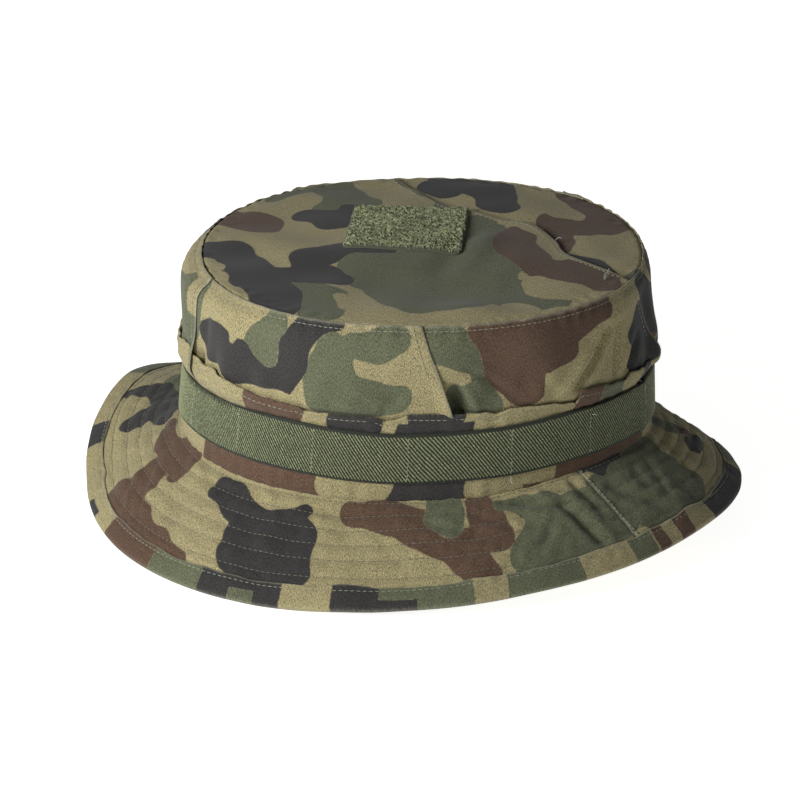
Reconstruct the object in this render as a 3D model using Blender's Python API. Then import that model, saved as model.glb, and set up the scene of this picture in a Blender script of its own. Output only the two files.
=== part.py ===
"""Boonie hat: five-panel crown, stitched brim, elastic foliage band and loop patch.

Metres, +Z up. The hat stands on its brim with the origin on the table, under the middle of
its bounding box, and its front faces -Y. Azimuth is in degrees, from +X towards +Y.
Cloth layers are mid-surface sheets given their thickness by Solidify.
"""
import math

import bmesh
import bpy
from mathutils import Vector

MM = 0.001

# Cloth and how it stacks
CLOTH = 0.6 * MM                 # crown and brim cloth
GAP = 0.3 * MM                   # air left between neighbouring layers
STIFFENER = 0.8 * MM             # interlining inside the brim
ELASTIC = 1.0 * MM
STEP = CLOTH + GAP               # from one cloth layer's middle to the next
COLUMNS = 72                     # columns of faces round the whole hat

# Crown: head opening, top oval and the wall between them
OPENING_LENGTH = 197 * MM
OPENING_DEPTH = 160 * MM
OPENING_X = 0.5 * MM
OPENING_Y = 3.3 * MM
OPENING_FORWARD = 7 * MM         # how far the widest place sits towards the front
OPENING_DIP = 3 * MM             # how much lower the opening is at its two ends
OPENING_Z = 34.65 * MM
TOP_LENGTH = 186 * MM
TOP_DEPTH = 165 * MM
TOP_X = 3.5 * MM
TOP_Y = 3.3 * MM
TOP_Z = 111.55 * MM
TOP_TILT = 1 * MM                # the rear edge is this much higher than the middle
TOP_DOME = 2.2 * MM
OVAL_POWER = 2.15                # 2 is an ellipse, more is blunter
OVAL_TURN = 3                    # degrees
# Bulge of the wall beyond the straight line from top to opening, by azimuth
SHOULDER = ((0, 2.9), (45, 2.6), (90, 3), (135, 4.5), (180, 7.2), (225, 4.5), (270, 3), (315, 2.6))
BELLY = ((0, 4.8), (45, 3.2), (90, 2), (135, 3.5), (180, 4.9), (225, 3), (270, 1.5), (315, 3.2))
WALL_ROWS = (0.985, 0.95, 0.89, 0.70, 0.53, 0.43, 0.025)   # fraction of the wall's height
SHOULDER_AT, BELLY_AT, CINCHED_AT = 0.89, 0.53, 0.43

# Side panels, anticlockwise: azimuth of the edge that each starts under, at the top and the foot
PANELS = (("side_panel_front_left", 199, 199), ("side_panel_front_right", 266, 279),
          ("side_panel_rear_right", 331, 349), ("side_panel_rear", 407, 413),
          ("side_panel_rear_left", 483, 489))
LAP = 8                          # degrees that each panel's end lies over the next one
LAP_LIFT = 1.25 * MM

# Crown top: the fold of the large panel, seen from above, and the small panel under it
FOLD_START, FOLD_END = -27, 94   # azimuths where the fold meets the crown seam
FOLD_MIDDLE = ((62, -3.5), (47.5, 25), (25, 38.5), (6.5, 58))   # mm
FOLD_DROP = 1.25 * MM
FOLD_WIDTH = 8 * MM
LINING_DROP = 3.5 * MM

# Bands round the crown, as heights above the opening in mm
HATBAND_FOOT = 1.9
WAIST = 33                       # up to here the elastic holds the wall straight
HATBAND_TOP = ((0, 39), (90, 36), (180, 44), (200, 44), (215, 43), (235, 39), (250, 37), (262, 35),
               (275, 37), (290, 38), (305, 38), (312, 41), (330, 40))
ELASTIC_FOOT = ((0, 9), (90, 7), (180, 10), (210, 10.5), (240, 8.5), (265, 6.5), (290, 8), (315, 9.5))
ELASTIC_WIDTH = 22
SWEATBAND_HEIGHT = (-1.5, 30)
BAND_OFFSET = 2.2 * MM           # from the wall's middle to the hatband's middle
TACKS = 16
TACK_START = 266
TACK_WIDTH = 1.5 * MM
TACK_HEIGHT = 18 * MM
TACK_DEPTH = 0.5 * MM

# Loop patch on the crown top
PATCH_SIDE = 50 * MM
PATCH_DEPTH = 2.2 * MM
PATCH_X, PATCH_Y = -3 * MM, 17.8 * MM
PATCH_TURN = -5                  # degrees
PATCH_CORNER = 2.5 * MM

# Brim: width out from the opening, and height of its edge above the table
BRIM_WIDTH = ((0, 48), (30, 50), (60, 50), (90, 50), (120, 49), (150, 46), (180, 48), (210, 51),
              (240, 53), (270, 53), (300, 47.5), (330, 43))
EDGE_HEIGHT = ((0, 7.5), (15, 4), (30, 1.2), (45, 0.95), (60, 1.9), (75, 1.5), (90, 0.9), (105, 1.5),
               (120, 8.2), (135, 21), (150, 28.6), (165, 19.6), (180, 9.6), (195, 5.3), (210, 3.3),
               (225, 1.5), (240, 0.9), (255, 2.6), (270, 5.5), (285, 8.3), (300, 10.7), (315, 12.3),
               (330, 12.7), (345, 10.9))
BRIM_ARCH = 1.2 * MM             # how far the brim's middle stands above a straight line
BRIM_SEAMS = (130, 310)
BRIM_CLEAR = 0.2 * MM            # between the plies' inner edge and the opening
BINDING_LEG = 10 * MM
BINDING_ROUND = 1.7 * MM         # from the plies' edge to the middle of the binding's fold

# Finishes: linear colour, roughness
KHAKI = (0.285, 0.262, 0.155)
GREEN = (0.142, 0.150, 0.095)
BROWN = (0.112, 0.072, 0.049)
BLACK = (0.054, 0.053, 0.049)
OLIVE = (0.098, 0.108, 0.058)
THREAD = (0.31, 0.32, 0.24)
LINING_GREEN = (0.10, 0.108, 0.066)
LABEL_WHITE = (0.62, 0.61, 0.56)


def clear_scene():
    """Remove every object that the open file holds."""
    for existing in list(bpy.data.objects):
        bpy.data.objects.remove(existing, do_unlink=True)


def around(keys, azimuth):
    """Smooth periodic value at an azimuth, through (azimuth, value) keys that start at 0."""
    azimuth %= 360
    count = len(keys)
    index = max(i for i in range(count) if keys[i][0] <= azimuth)
    start, a = keys[index]
    end, b = keys[(index + 1) % count]
    before = keys[index - 1][1]
    after = keys[(index + 2) % count][1]
    u = (azimuth - start) / ((end - start) % 360)
    curve = (2 * before - 5 * a + 4 * b - after) * u ** 2 + (3 * a - before - 3 * b + after) * u ** 3
    return 0.5 * (2 * a + (b - before) * u + curve)


def oval(azimuth, length, depth, forward=0.0):
    """Point on a blunt oval round the origin, turned by OVAL_TURN."""
    cosine = math.cos(math.radians(azimuth))
    sine = math.sin(math.radians(azimuth))
    x = length / 2 * math.copysign(abs(cosine) ** (2 / OVAL_POWER), cosine)
    y = depth / 2 * math.copysign(abs(sine) ** (2 / OVAL_POWER), sine) - forward * cosine ** 2
    turn = math.radians(OVAL_TURN)
    return Vector((x * math.cos(turn) - y * math.sin(turn), x * math.sin(turn) + y * math.cos(turn), 0))


def opening(azimuth):
    """Point on the head opening's edge, where crown and brim meet."""
    point = oval(azimuth, OPENING_LENGTH, OPENING_DEPTH, OPENING_FORWARD)
    dip = OPENING_DIP * math.cos(math.radians(azimuth)) ** 2
    return point + Vector((OPENING_X, OPENING_Y, OPENING_Z - dip))


def outward(azimuth):
    """Level unit vector that points out of the opening."""
    along = opening(azimuth + 0.5) - opening(azimuth - 0.5)
    return Vector((along.y, -along.x, 0)).normalized()


def top_surface(x, y):
    """Height of the crown top over a place on the plan."""
    across = 2 * (x - TOP_X) / TOP_LENGTH
    along = 2 * (y - TOP_Y) / TOP_DEPTH
    return TOP_Z + TOP_TILT * along + TOP_DOME * max(0.0, 1 - across ** 2 - along ** 2)


def top_rim(azimuth):
    """Point on the crown seam."""
    point = oval(azimuth, TOP_LENGTH, TOP_DEPTH) + Vector((TOP_X, TOP_Y, 0))
    point.z = top_surface(point.x, point.y)
    return point


def blend(value, low, high):
    """Smooth step from 0 at low to 1 at high."""
    t = min(1.0, max(0.0, (value - low) / (high - low)))
    return t * t * (3 - 2 * t)


def bare_wall(azimuth, fraction):
    """Point of the crown wall at a fraction of its height."""
    straight = opening(azimuth).lerp(top_rim(azimuth), fraction)
    shoulder = around(SHOULDER, azimuth) * MM
    belly = around(BELLY, azimuth) * MM
    if fraction > SHOULDER_AT:
        bulge = shoulder * (1 - ((fraction - SHOULDER_AT) / (1 - SHOULDER_AT)) ** 2)
    elif fraction > BELLY_AT:
        bulge = belly + (shoulder - belly) * blend(fraction, BELLY_AT, SHOULDER_AT)
    else:
        bulge = belly * blend(fraction, CINCHED_AT, BELLY_AT)
    return straight + outward(azimuth) * bulge


def off_surface(surface, azimuth, second, reach, offset):
    """Point of surface(azimuth, second), moved along the surface's normal by an offset."""
    around_it = surface(azimuth + 1, second) - surface(azimuth - 1, second)
    across_it = surface(azimuth, second + reach) - surface(azimuth, second - reach)
    return surface(azimuth, second) + around_it.cross(across_it).normalized() * offset


def wall(azimuth, fraction, offset=0.0):
    """Point of the crown wall at a fraction of its height, moved outward by an offset."""
    return off_surface(bare_wall, azimuth, fraction, 0.01, offset)


def band(azimuth, height, offset):
    """Point of a band at a height in mm above the opening, moved outward by an offset."""
    fraction = height * MM / (top_rim(azimuth).z - opening(azimuth).z)
    return wall(azimuth, fraction, offset)


def bare_brim(azimuth, inset):
    """Point of the brim's middle at a distance in from the edge."""
    width = around(BRIM_WIDTH, azimuth) * MM
    root = opening(azimuth)
    droop = math.asin((root.z - around(EDGE_HEIGHT, azimuth) * MM) / width)
    out = outward(azimuth)
    run = out * math.cos(droop) - Vector((0, 0, math.sin(droop)))
    rise = out * math.sin(droop) + Vector((0, 0, math.cos(droop)))
    return root + run * (width - inset) + rise * BRIM_ARCH * math.sin(math.pi * inset / width)


def brim(azimuth, inset, offset=0.0):
    """Point of the brim at a distance in from its edge, moved upward off it by an offset."""
    return off_surface(bare_brim, azimuth, inset, 1 * MM, offset)


def material(name, colour, roughness):
    """Principled material of one piece."""
    finish = bpy.data.materials.new(name)
    finish.use_nodes = True
    shader = finish.node_tree.nodes["Principled BSDF"]
    shader.inputs["Base Color"].default_value = (*colour, 1)
    shader.inputs["Roughness"].default_value = roughness
    shader.inputs["Metallic"].default_value = 0
    return finish


def add_object(name, mesh, colour, roughness):
    """Link a mesh as a named, smooth-shaded object with its own material."""
    mesh.shade_smooth()
    mesh.set_sharp_from_angle(angle=math.radians(40))
    mesh.materials.append(material(name, colour, roughness))
    piece = bpy.data.objects.new(name, mesh)
    bpy.context.scene.collection.objects.link(piece)
    return piece


def sheet(name, rows, colour, thickness=CLOTH, closed=False, roughness=0.9):
    """Cloth layer through rows of points that share their columns.

    Each row runs anticlockwise seen from outside or above, and the rows go upward or inward,
    so the faces point out. Solidify then gives the cloth its thickness about the middle.
    """
    model = bmesh.new()
    grid = [[model.verts.new(point) for point in row] for row in rows]
    columns = len(grid[0])
    for lower, upper in zip(grid, grid[1:]):
        for i in range(columns if closed else columns - 1):
            j = (i + 1) % columns
            model.faces.new((lower[i], lower[j], upper[j], upper[i]))
    bmesh.ops.remove_doubles(model, verts=model.verts, dist=0.02 * MM)
    mesh = bpy.data.meshes.new(name)
    model.to_mesh(mesh)
    model.free()
    piece = add_object(name, mesh, colour, roughness)
    thicken = piece.modifiers.new("thickness", "SOLIDIFY")
    thicken.thickness = thickness
    thicken.offset = 0
    thicken.use_even_offset = False
    return piece


def azimuths(start=0.0, end=360.0):
    """Column azimuths of the shared grid from start to end, with both ends kept."""
    pitch = 360 / COLUMNS
    first = math.floor(start / pitch) + 1
    inner = [i * pitch for i in range(first, first + COLUMNS + 1) if start + 1 < i * pitch < end - 1]
    return [start, *inner, end]


def ring():
    """Column azimuths of the shared grid, once round."""
    return [i * 360 / COLUMNS for i in range(COLUMNS)]


def build_side_panels():
    """Five wall panels, each rising over the start of the next one."""
    for index, (name, top, foot) in enumerate(PANELS):
        _, next_top, next_foot = PANELS[(index + 1) % len(PANELS)]
        turn = 360 if index == len(PANELS) - 1 else 0
        count = round((next_top + turn - top + LAP) * COLUMNS / 360)
        rows = []
        for fraction in reversed(WALL_ROWS):
            start = foot + (top - foot) * fraction - LAP
            end = next_foot + (next_top - next_foot) * fraction + turn
            row = []
            for i in range(count + 1):
                azimuth = start + (end - start) * i / count
                lift = LAP_LIFT * blend(azimuth, end - LAP - 5, end - LAP - 0.5)
                row.append(wall(azimuth, fraction, lift))
            rows.append(row)
        sheet(name, rows, KHAKI)


def fold_point(t, shift=0.0):
    """Point on the crown top's fold at t from 0 to 1, moved towards the hat's middle."""
    keys = [top_rim(FOLD_START).xy, *(Vector(key) * MM for key in FOLD_MIDDLE), top_rim(FOLD_END).xy]
    spans = len(keys) - 1
    index = min(int(t * spans), spans - 1)
    u = t * spans - index
    before, a, b, after = (keys[min(max(index + k, 0), spans)] for k in (-1, 0, 1, 2))
    curve = (2 * before - 5 * a + 4 * b - after) * u ** 2 + (3 * a - before - 3 * b + after) * u ** 3
    point = 0.5 * (2 * a + (b - before) * u + curve)
    return point + (Vector((TOP_X, TOP_Y)) - point).normalized() * shift


def top_point(plan, drop=0.0):
    """Place a plan point on the crown top, or a drop below it."""
    return Vector((plan.x, plan.y, top_surface(plan.x, plan.y) - drop))


def build_large_top():
    """Large crown top panel, from the crown seam to its fold."""
    rows = 7
    sweep = FOLD_START + 360 - FOLD_END
    count = int(sweep * COLUMNS / 360)
    grid = []
    for j in range(rows + 1):
        row = []
        for i in range(count + 1):
            rim = top_rim(FOLD_END + sweep * i / count)
            row.append(top_point(rim.xy.lerp(fold_point(1 - i / count), j / rows)))
        grid.append(row)
    sheet("crown_top_large", grid, KHAKI)


def build_small_top():
    """Small crown top panel, which dips under the large panel's fold."""
    rows = 4
    sweep = FOLD_END - FOLD_START
    count = int(sweep * COLUMNS / 360)
    grid = []
    for j in range(rows + 1):
        row = []
        for i in range(count + 1):
            t = i / count
            rim = top_rim(FOLD_START + sweep * t)
            hump = math.sin(math.pi * t) ** 0.5
            plan = rim.xy.lerp(fold_point(t, FOLD_WIDTH * hump), j / rows)
            beyond = (plan - fold_point(t)).length
            near = 1 if j == rows else 1 - blend(beyond, 2 * MM, 18 * MM)
            row.append(top_point(plan, FOLD_DROP * near * max(hump, 0.85)))
        grid.append(row)
    sheet("crown_top_small", grid, BROWN)


def build_top_lining():
    """Lining below the crown top, the floor of its pocket."""
    middle = Vector((TOP_X, TOP_Y))
    centre = top_point(middle, LINING_DROP)
    columns = ring()[::2]
    rows = [[top_point(middle.lerp(top_rim(a).xy, scale), LINING_DROP) for a in columns]
            for scale in (0.9, 0.6, 0.3)]
    lining = sheet("crown_top_lining", rows, LINING_GREEN, closed=True)
    model = bmesh.new()
    model.from_mesh(lining.data)
    inner = [e for e in model.edges if e.is_boundary and (e.verts[0].co - centre).length < TOP_DEPTH / 4]
    hub = model.verts.new(centre)
    for edge in inner:
        model.faces.new((*edge.verts, hub))
    bmesh.ops.recalc_face_normals(model, faces=model.faces)
    model.to_mesh(lining.data)
    model.free()


def build_bands():
    """Bands round the crown: tape, sweatband, hatband and the elastic."""
    columns = ring()
    tape = [[wall(a, f, -1.2 * STEP) for a in columns] for f in (0.86, 0.93)]
    sheet("crown_seam_tape", tape, LINING_GREEN, CLOTH * 0.8, closed=True)
    sweat = [[band(a, h, -STEP - 0.6 * MM) for a in columns] for h in SWEATBAND_HEIGHT]
    sheet("sweatband", sweat, LINING_GREEN, closed=True)
    hatband = [[band(a, h, BAND_OFFSET) for a in columns] for h in (HATBAND_FOOT, WAIST / 2, WAIST)]
    for share in (0.72, 1):
        heights = [WAIST + share * (around(HATBAND_TOP, a) - WAIST) for a in columns]
        hatband.append([band(a, h, BAND_OFFSET) for a, h in zip(columns, heights)])
    sheet("hatband", hatband, KHAKI, closed=True)
    elastic_offset = BAND_OFFSET + (CLOTH + ELASTIC) / 2 + GAP
    elastic = [[band(a, around(ELASTIC_FOOT, a) + rise, elastic_offset) for a in columns]
               for rise in (0, ELASTIC_WIDTH)]
    sheet("foliage_elastic", elastic, OLIVE, ELASTIC, closed=True, roughness=0.7)
    tack_offset = elastic_offset + (ELASTIC + TACK_DEPTH) / 2 + GAP
    for number in range(TACKS):
        build_tack(f"elastic_tack_{number + 1:02d}", TACK_START + number * 360 / TACKS, tack_offset)


def build_tack(name, azimuth, offset):
    """Upright row of stitching that holds the elastic, as one thin bar."""
    low = around(ELASTIC_FOOT, azimuth)
    foot, head = (band(azimuth, height, offset) for height in (low, low + ELASTIC_WIDTH))
    up = (head - foot).normalized()
    side = outward(azimuth).cross(up).normalized()
    out = up.cross(side)
    model = bmesh.new()
    bmesh.ops.create_cube(model, size=1)
    for vertex in model.verts:
        x, y, z = vertex.co
        vertex.co = (foot + head) / 2 + side * x * TACK_WIDTH + out * y * TACK_DEPTH + up * z * TACK_HEIGHT
    mesh = bpy.data.meshes.new(name)
    model.to_mesh(mesh)
    model.free()
    add_object(name, mesh, THREAD, 0.6)


def build_patch():
    """Square loop patch with rounded corners, lying on the crown top."""
    model = bmesh.new()
    bmesh.ops.create_cube(model, size=1)
    bmesh.ops.scale(model, verts=model.verts, vec=(PATCH_SIDE, PATCH_SIDE, PATCH_DEPTH))
    upright = [e for e in model.edges if abs(e.verts[0].co.z - e.verts[1].co.z) > PATCH_DEPTH / 2]
    bmesh.ops.bevel(model, geom=upright, offset=PATCH_CORNER, segments=3, profile=0.5, affect="EDGES")
    mesh = bpy.data.meshes.new("patch_loop")
    model.to_mesh(mesh)
    model.free()
    patch = add_object("patch_loop", mesh, OLIVE, 0.95)
    under = top_surface(TOP_X, TOP_Y) + CLOTH / 2 + GAP
    patch.location = (PATCH_X, PATCH_Y, under + PATCH_DEPTH / 2)
    patch.rotation_euler.z = math.radians(PATCH_TURN)


def build_label():
    """Blank size label inside the back of the sweatband."""
    offset = -STEP - 0.6 * MM - CLOTH - GAP
    rows = [[band(a, h, offset) for a in (85, 90, 95)] for h in (7, 27)]
    sheet("size_label", rows, LABEL_WHITE, CLOTH * 0.8)


def build_brim():
    """Two plies with a stiffener between them, in two halves above and below, and the binding."""
    ply_offset = (STIFFENER + CLOTH) / 2 + GAP

    def brim_rows(columns, offset):
        """Rows of one ply from its outer edge to the opening."""
        insets = [(BINDING_ROUND, BINDING_LEG, (BINDING_LEG + width) / 2, width - BRIM_CLEAR)
                  for width in (around(BRIM_WIDTH, a) * MM for a in columns)]
        return [[brim(a, steps[k], offset) for a, steps in zip(columns, insets)] for k in range(4)]

    half_gap = 0.15
    sheet("brim_interlining", brim_rows(ring(), 0), LINING_GREEN, STIFFENER, closed=True)
    first, second = BRIM_SEAMS
    for half, start, end in (("front", first, second), ("rear", second, first + 360)):
        columns = azimuths(start + half_gap, end - half_gap)
        sheet(f"brim_upper_{half}", brim_rows(columns, ply_offset), KHAKI)
        sheet(f"brim_lower_{half}", brim_rows(columns, -ply_offset), GREEN)

    leg = ply_offset + STEP
    rows = []
    for share, inset in ((-1, BINDING_LEG), (-1, BINDING_ROUND), (-0.6, 0.4 * MM), (0, 0),
                         (0.6, 0.4 * MM), (1, BINDING_ROUND), (1, BINDING_LEG)):
        rows.append([brim(a, inset, leg * share) for a in ring()])
    sheet("brim_binding", rows, BLACK, closed=True)


def main():
    """Build every piece of the hat."""
    clear_scene()
    build_side_panels()
    build_large_top()
    build_small_top()
    build_top_lining()
    build_bands()
    build_patch()
    build_label()
    build_brim()


main()
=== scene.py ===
"""Looks of a boonie hat: printed cloth crown and brim, ribbed elastic band and loop patch.

Metres, +Z up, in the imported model's frame: the hat stands on its brim at z 0 and its front
faces -Y. Azimuth is in degrees, from +X towards +Y. Heights on the crown wall are millimetres
above the head opening, and insets on the brim are millimetres in from its edge. Every cloth
layer is a grid laid on one of the hat's three surfaces and given its thickness as a closed
shell, so layers that lie on each other share the same folds.
"""

import logging
import math
from dataclasses import dataclass
from enum import Enum

import bmesh
import bpy
import numpy as np
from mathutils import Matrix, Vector


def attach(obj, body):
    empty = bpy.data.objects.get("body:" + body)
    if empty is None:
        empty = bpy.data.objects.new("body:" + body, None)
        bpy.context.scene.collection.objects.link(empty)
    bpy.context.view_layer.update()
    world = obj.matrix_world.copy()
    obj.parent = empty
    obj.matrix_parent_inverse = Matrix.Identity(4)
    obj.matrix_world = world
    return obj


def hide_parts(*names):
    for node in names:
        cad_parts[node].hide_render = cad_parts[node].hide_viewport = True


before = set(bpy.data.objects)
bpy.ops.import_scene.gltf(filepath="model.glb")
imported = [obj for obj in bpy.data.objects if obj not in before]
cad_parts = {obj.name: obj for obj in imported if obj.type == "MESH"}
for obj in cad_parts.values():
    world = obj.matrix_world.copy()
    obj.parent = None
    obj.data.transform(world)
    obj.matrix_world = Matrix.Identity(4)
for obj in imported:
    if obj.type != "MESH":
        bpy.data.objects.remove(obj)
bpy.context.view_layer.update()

MM = 0.001
CLOTH = 0.6 * MM            # thickness of printed cloth and lining
EDGE_PITCH = 2.45           # mm along the brim's edge for each degree
Array = np.ndarray
Keys = tuple[tuple[float, float], ...]
log = logging.getLogger("boonie_hat")


# ---------------------------------------------------------------------------------------------
# Numbers
# ---------------------------------------------------------------------------------------------


def around(keys: Keys, azimuth: Array) -> Array:
    """Smooth periodic values at azimuths.

    Args:
        keys: (azimuth, value) pairs, the first at 0.
        azimuth: Degrees.

    Returns:
        The values of a smooth curve through the keys.
    """
    table = np.array(keys, float)
    count = len(table)
    azimuth = np.mod(np.asarray(azimuth, float), 360.0)
    i = np.searchsorted(table[:, 0], azimuth, side="right") - 1
    j = (i + 1) % count
    u = (azimuth - table[i, 0]) / np.mod(table[j, 0] - table[i, 0] - 1e-9, 360.0)
    a, b, before, after = table[i, 1], table[j, 1], table[i - 1, 1], table[(i + 2) % count, 1]
    curve = (2 * before - 5 * a + 4 * b - after) * u**2 + (3 * a - before - 3 * b + after) * u**3
    return 0.5 * (2 * a + (b - before) * u + curve)


def stepped(keys: Keys, azimuth: Array) -> Array:
    """Periodic values at azimuths, straight between (azimuth, value) keys."""
    table = np.array(keys, float)
    return np.interp(np.mod(azimuth, 360.0), table[:, 0], table[:, 1], period=360.0)


def blend(value: Array, low: float, high: float) -> Array:
    """Smooth step from 0 at low to 1 at high."""
    t = np.clip((np.asarray(value, float) - low) / (high - low), 0.0, 1.0)
    return t * t * (3 - 2 * t)


def unit(vectors: Array) -> Array:
    """Vectors scaled to length 1, with +Z for those that have none."""
    length = np.linalg.norm(vectors, axis=-1, keepdims=True)
    return np.where(length > 1e-12, vectors / np.maximum(length, 1e-12), (0.0, 0.0, 1.0))


def ripple(u: Array, v: Array, seed: int, shortest: float, longest: float, upright: float = 1.0) -> Array:
    """Smooth noise of about unit size made of plane waves.

    Args:
        u: First coordinate in millimetres.
        v: Second coordinate in millimetres.
        seed: Fixes the waves.
        shortest: Shortest wavelength in millimetres.
        longest: Longest wavelength in millimetres.
        upright: Below 1 stretches the waves along v.

    Returns:
        The noise at each place.
    """
    draw = np.random.default_rng(seed)
    waves = 14
    total = np.zeros(np.broadcast(u, v).shape)
    for _ in range(waves):
        length = shortest * (longest / shortest) ** draw.random()
        turn = draw.uniform(0, 2 * math.pi)
        phase = draw.uniform(0, 2 * math.pi)
        rate = 2 * math.pi / length
        total += np.sin(rate * (u * math.cos(turn) + v * math.sin(turn) * upright) + phase)
    return total * math.sqrt(2 / waves)


def ring_ripple(azimuth: Array, v: Array, pitch: float, seed: int, shortest: float, longest: float,
                upright: float = 1.0) -> Array:
    """Smooth noise as from ripple that meets itself after a whole turn of azimuth.

    Args:
        azimuth: Degrees from +X towards +Y.
        v: Second coordinate of each place, in mm.
        pitch: Millimetres for one degree.
        seed: Fixes the noise.
        shortest: Shortest wavelength in mm.
        longest: Longest wavelength in mm.
        upright: Passed on to ripple.

    Returns:
        The noise at each place.
    """
    turn = np.mod(azimuth, 360.0)
    near = ripple(turn * pitch, v, seed, shortest, longest, upright)
    far = ripple((turn - 360) * pitch, v, seed, shortest, longest, upright)
    share = blend(turn, 335, 360)
    return near * (1 - share) + far * share


@dataclass(frozen=True)
class SmoothPath:
    """A smooth curve through given points on a plan."""

    points: tuple[tuple[float, float], ...]

    def at(self, share: Array) -> Array:
        """Points at shares of the curve's length, 0 to 1.

        Args:
            share: Shares of the length.

        Returns:
            Points of the curve, one for each share.
        """
        keys = np.array(self.points, float)
        padded = np.vstack([2 * keys[0] - keys[1], keys, 2 * keys[-1] - keys[-2]])
        steps = np.linspace(0, 1, 12, endpoint=False)[:, None]
        runs = []
        for before, a, b, after in zip(padded, padded[1:], padded[2:], padded[3:]):
            bend = (2 * before - 5 * a + 4 * b - after) * steps**2
            bend = bend + (3 * a - before - 3 * b + after) * steps**3
            runs.append(0.5 * (2 * a + (b - before) * steps + bend))
        line = np.vstack([*runs, keys[-1:]])
        along = np.concatenate([[0], np.cumsum(np.linalg.norm(np.diff(line, axis=0), axis=1))])
        target = np.asarray(share) * along[-1]
        return np.stack([np.interp(target, along, line[:, k]) for k in (0, 1)], -1)


@dataclass(frozen=True)
class Crease:
    """A fold in the cloth along a straight line, with a low roll on each side."""

    start: tuple[float, float]
    end: tuple[float, float]
    depth: float            # mm, below 0 for a ridge
    width: float            # mm

    def depth_at(self, u: Array, v: Array, pitch: float) -> Array:
        """Height in mm at places whose first coordinate is scaled by a pitch in mm.

        Args:
            u: First coordinate of each place.
            v: Second coordinate of each place.
            pitch: Millimetres for one unit of the first coordinate.

        Returns:
            Millimetres to add to the surface at each place.
        """
        a = np.array((self.start[0] * pitch, self.start[1]))
        run = np.array((self.end[0] * pitch, self.end[1])) - a
        x, y = u * pitch - a[0], v - a[1]
        t = np.clip((x * run[0] + y * run[1]) / (run @ run), 0, 1)
        away = np.hypot(x - t * run[0], y - t * run[1]) / self.width
        fade = 1 - 0.5 * np.abs(2 * t - 1) ** 3
        return -self.depth * fade * (np.exp(-away**2) - 0.35 * np.exp(-((away - 2.0) ** 2)))


# ---------------------------------------------------------------------------------------------
# The hat's surfaces
# ---------------------------------------------------------------------------------------------


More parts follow.
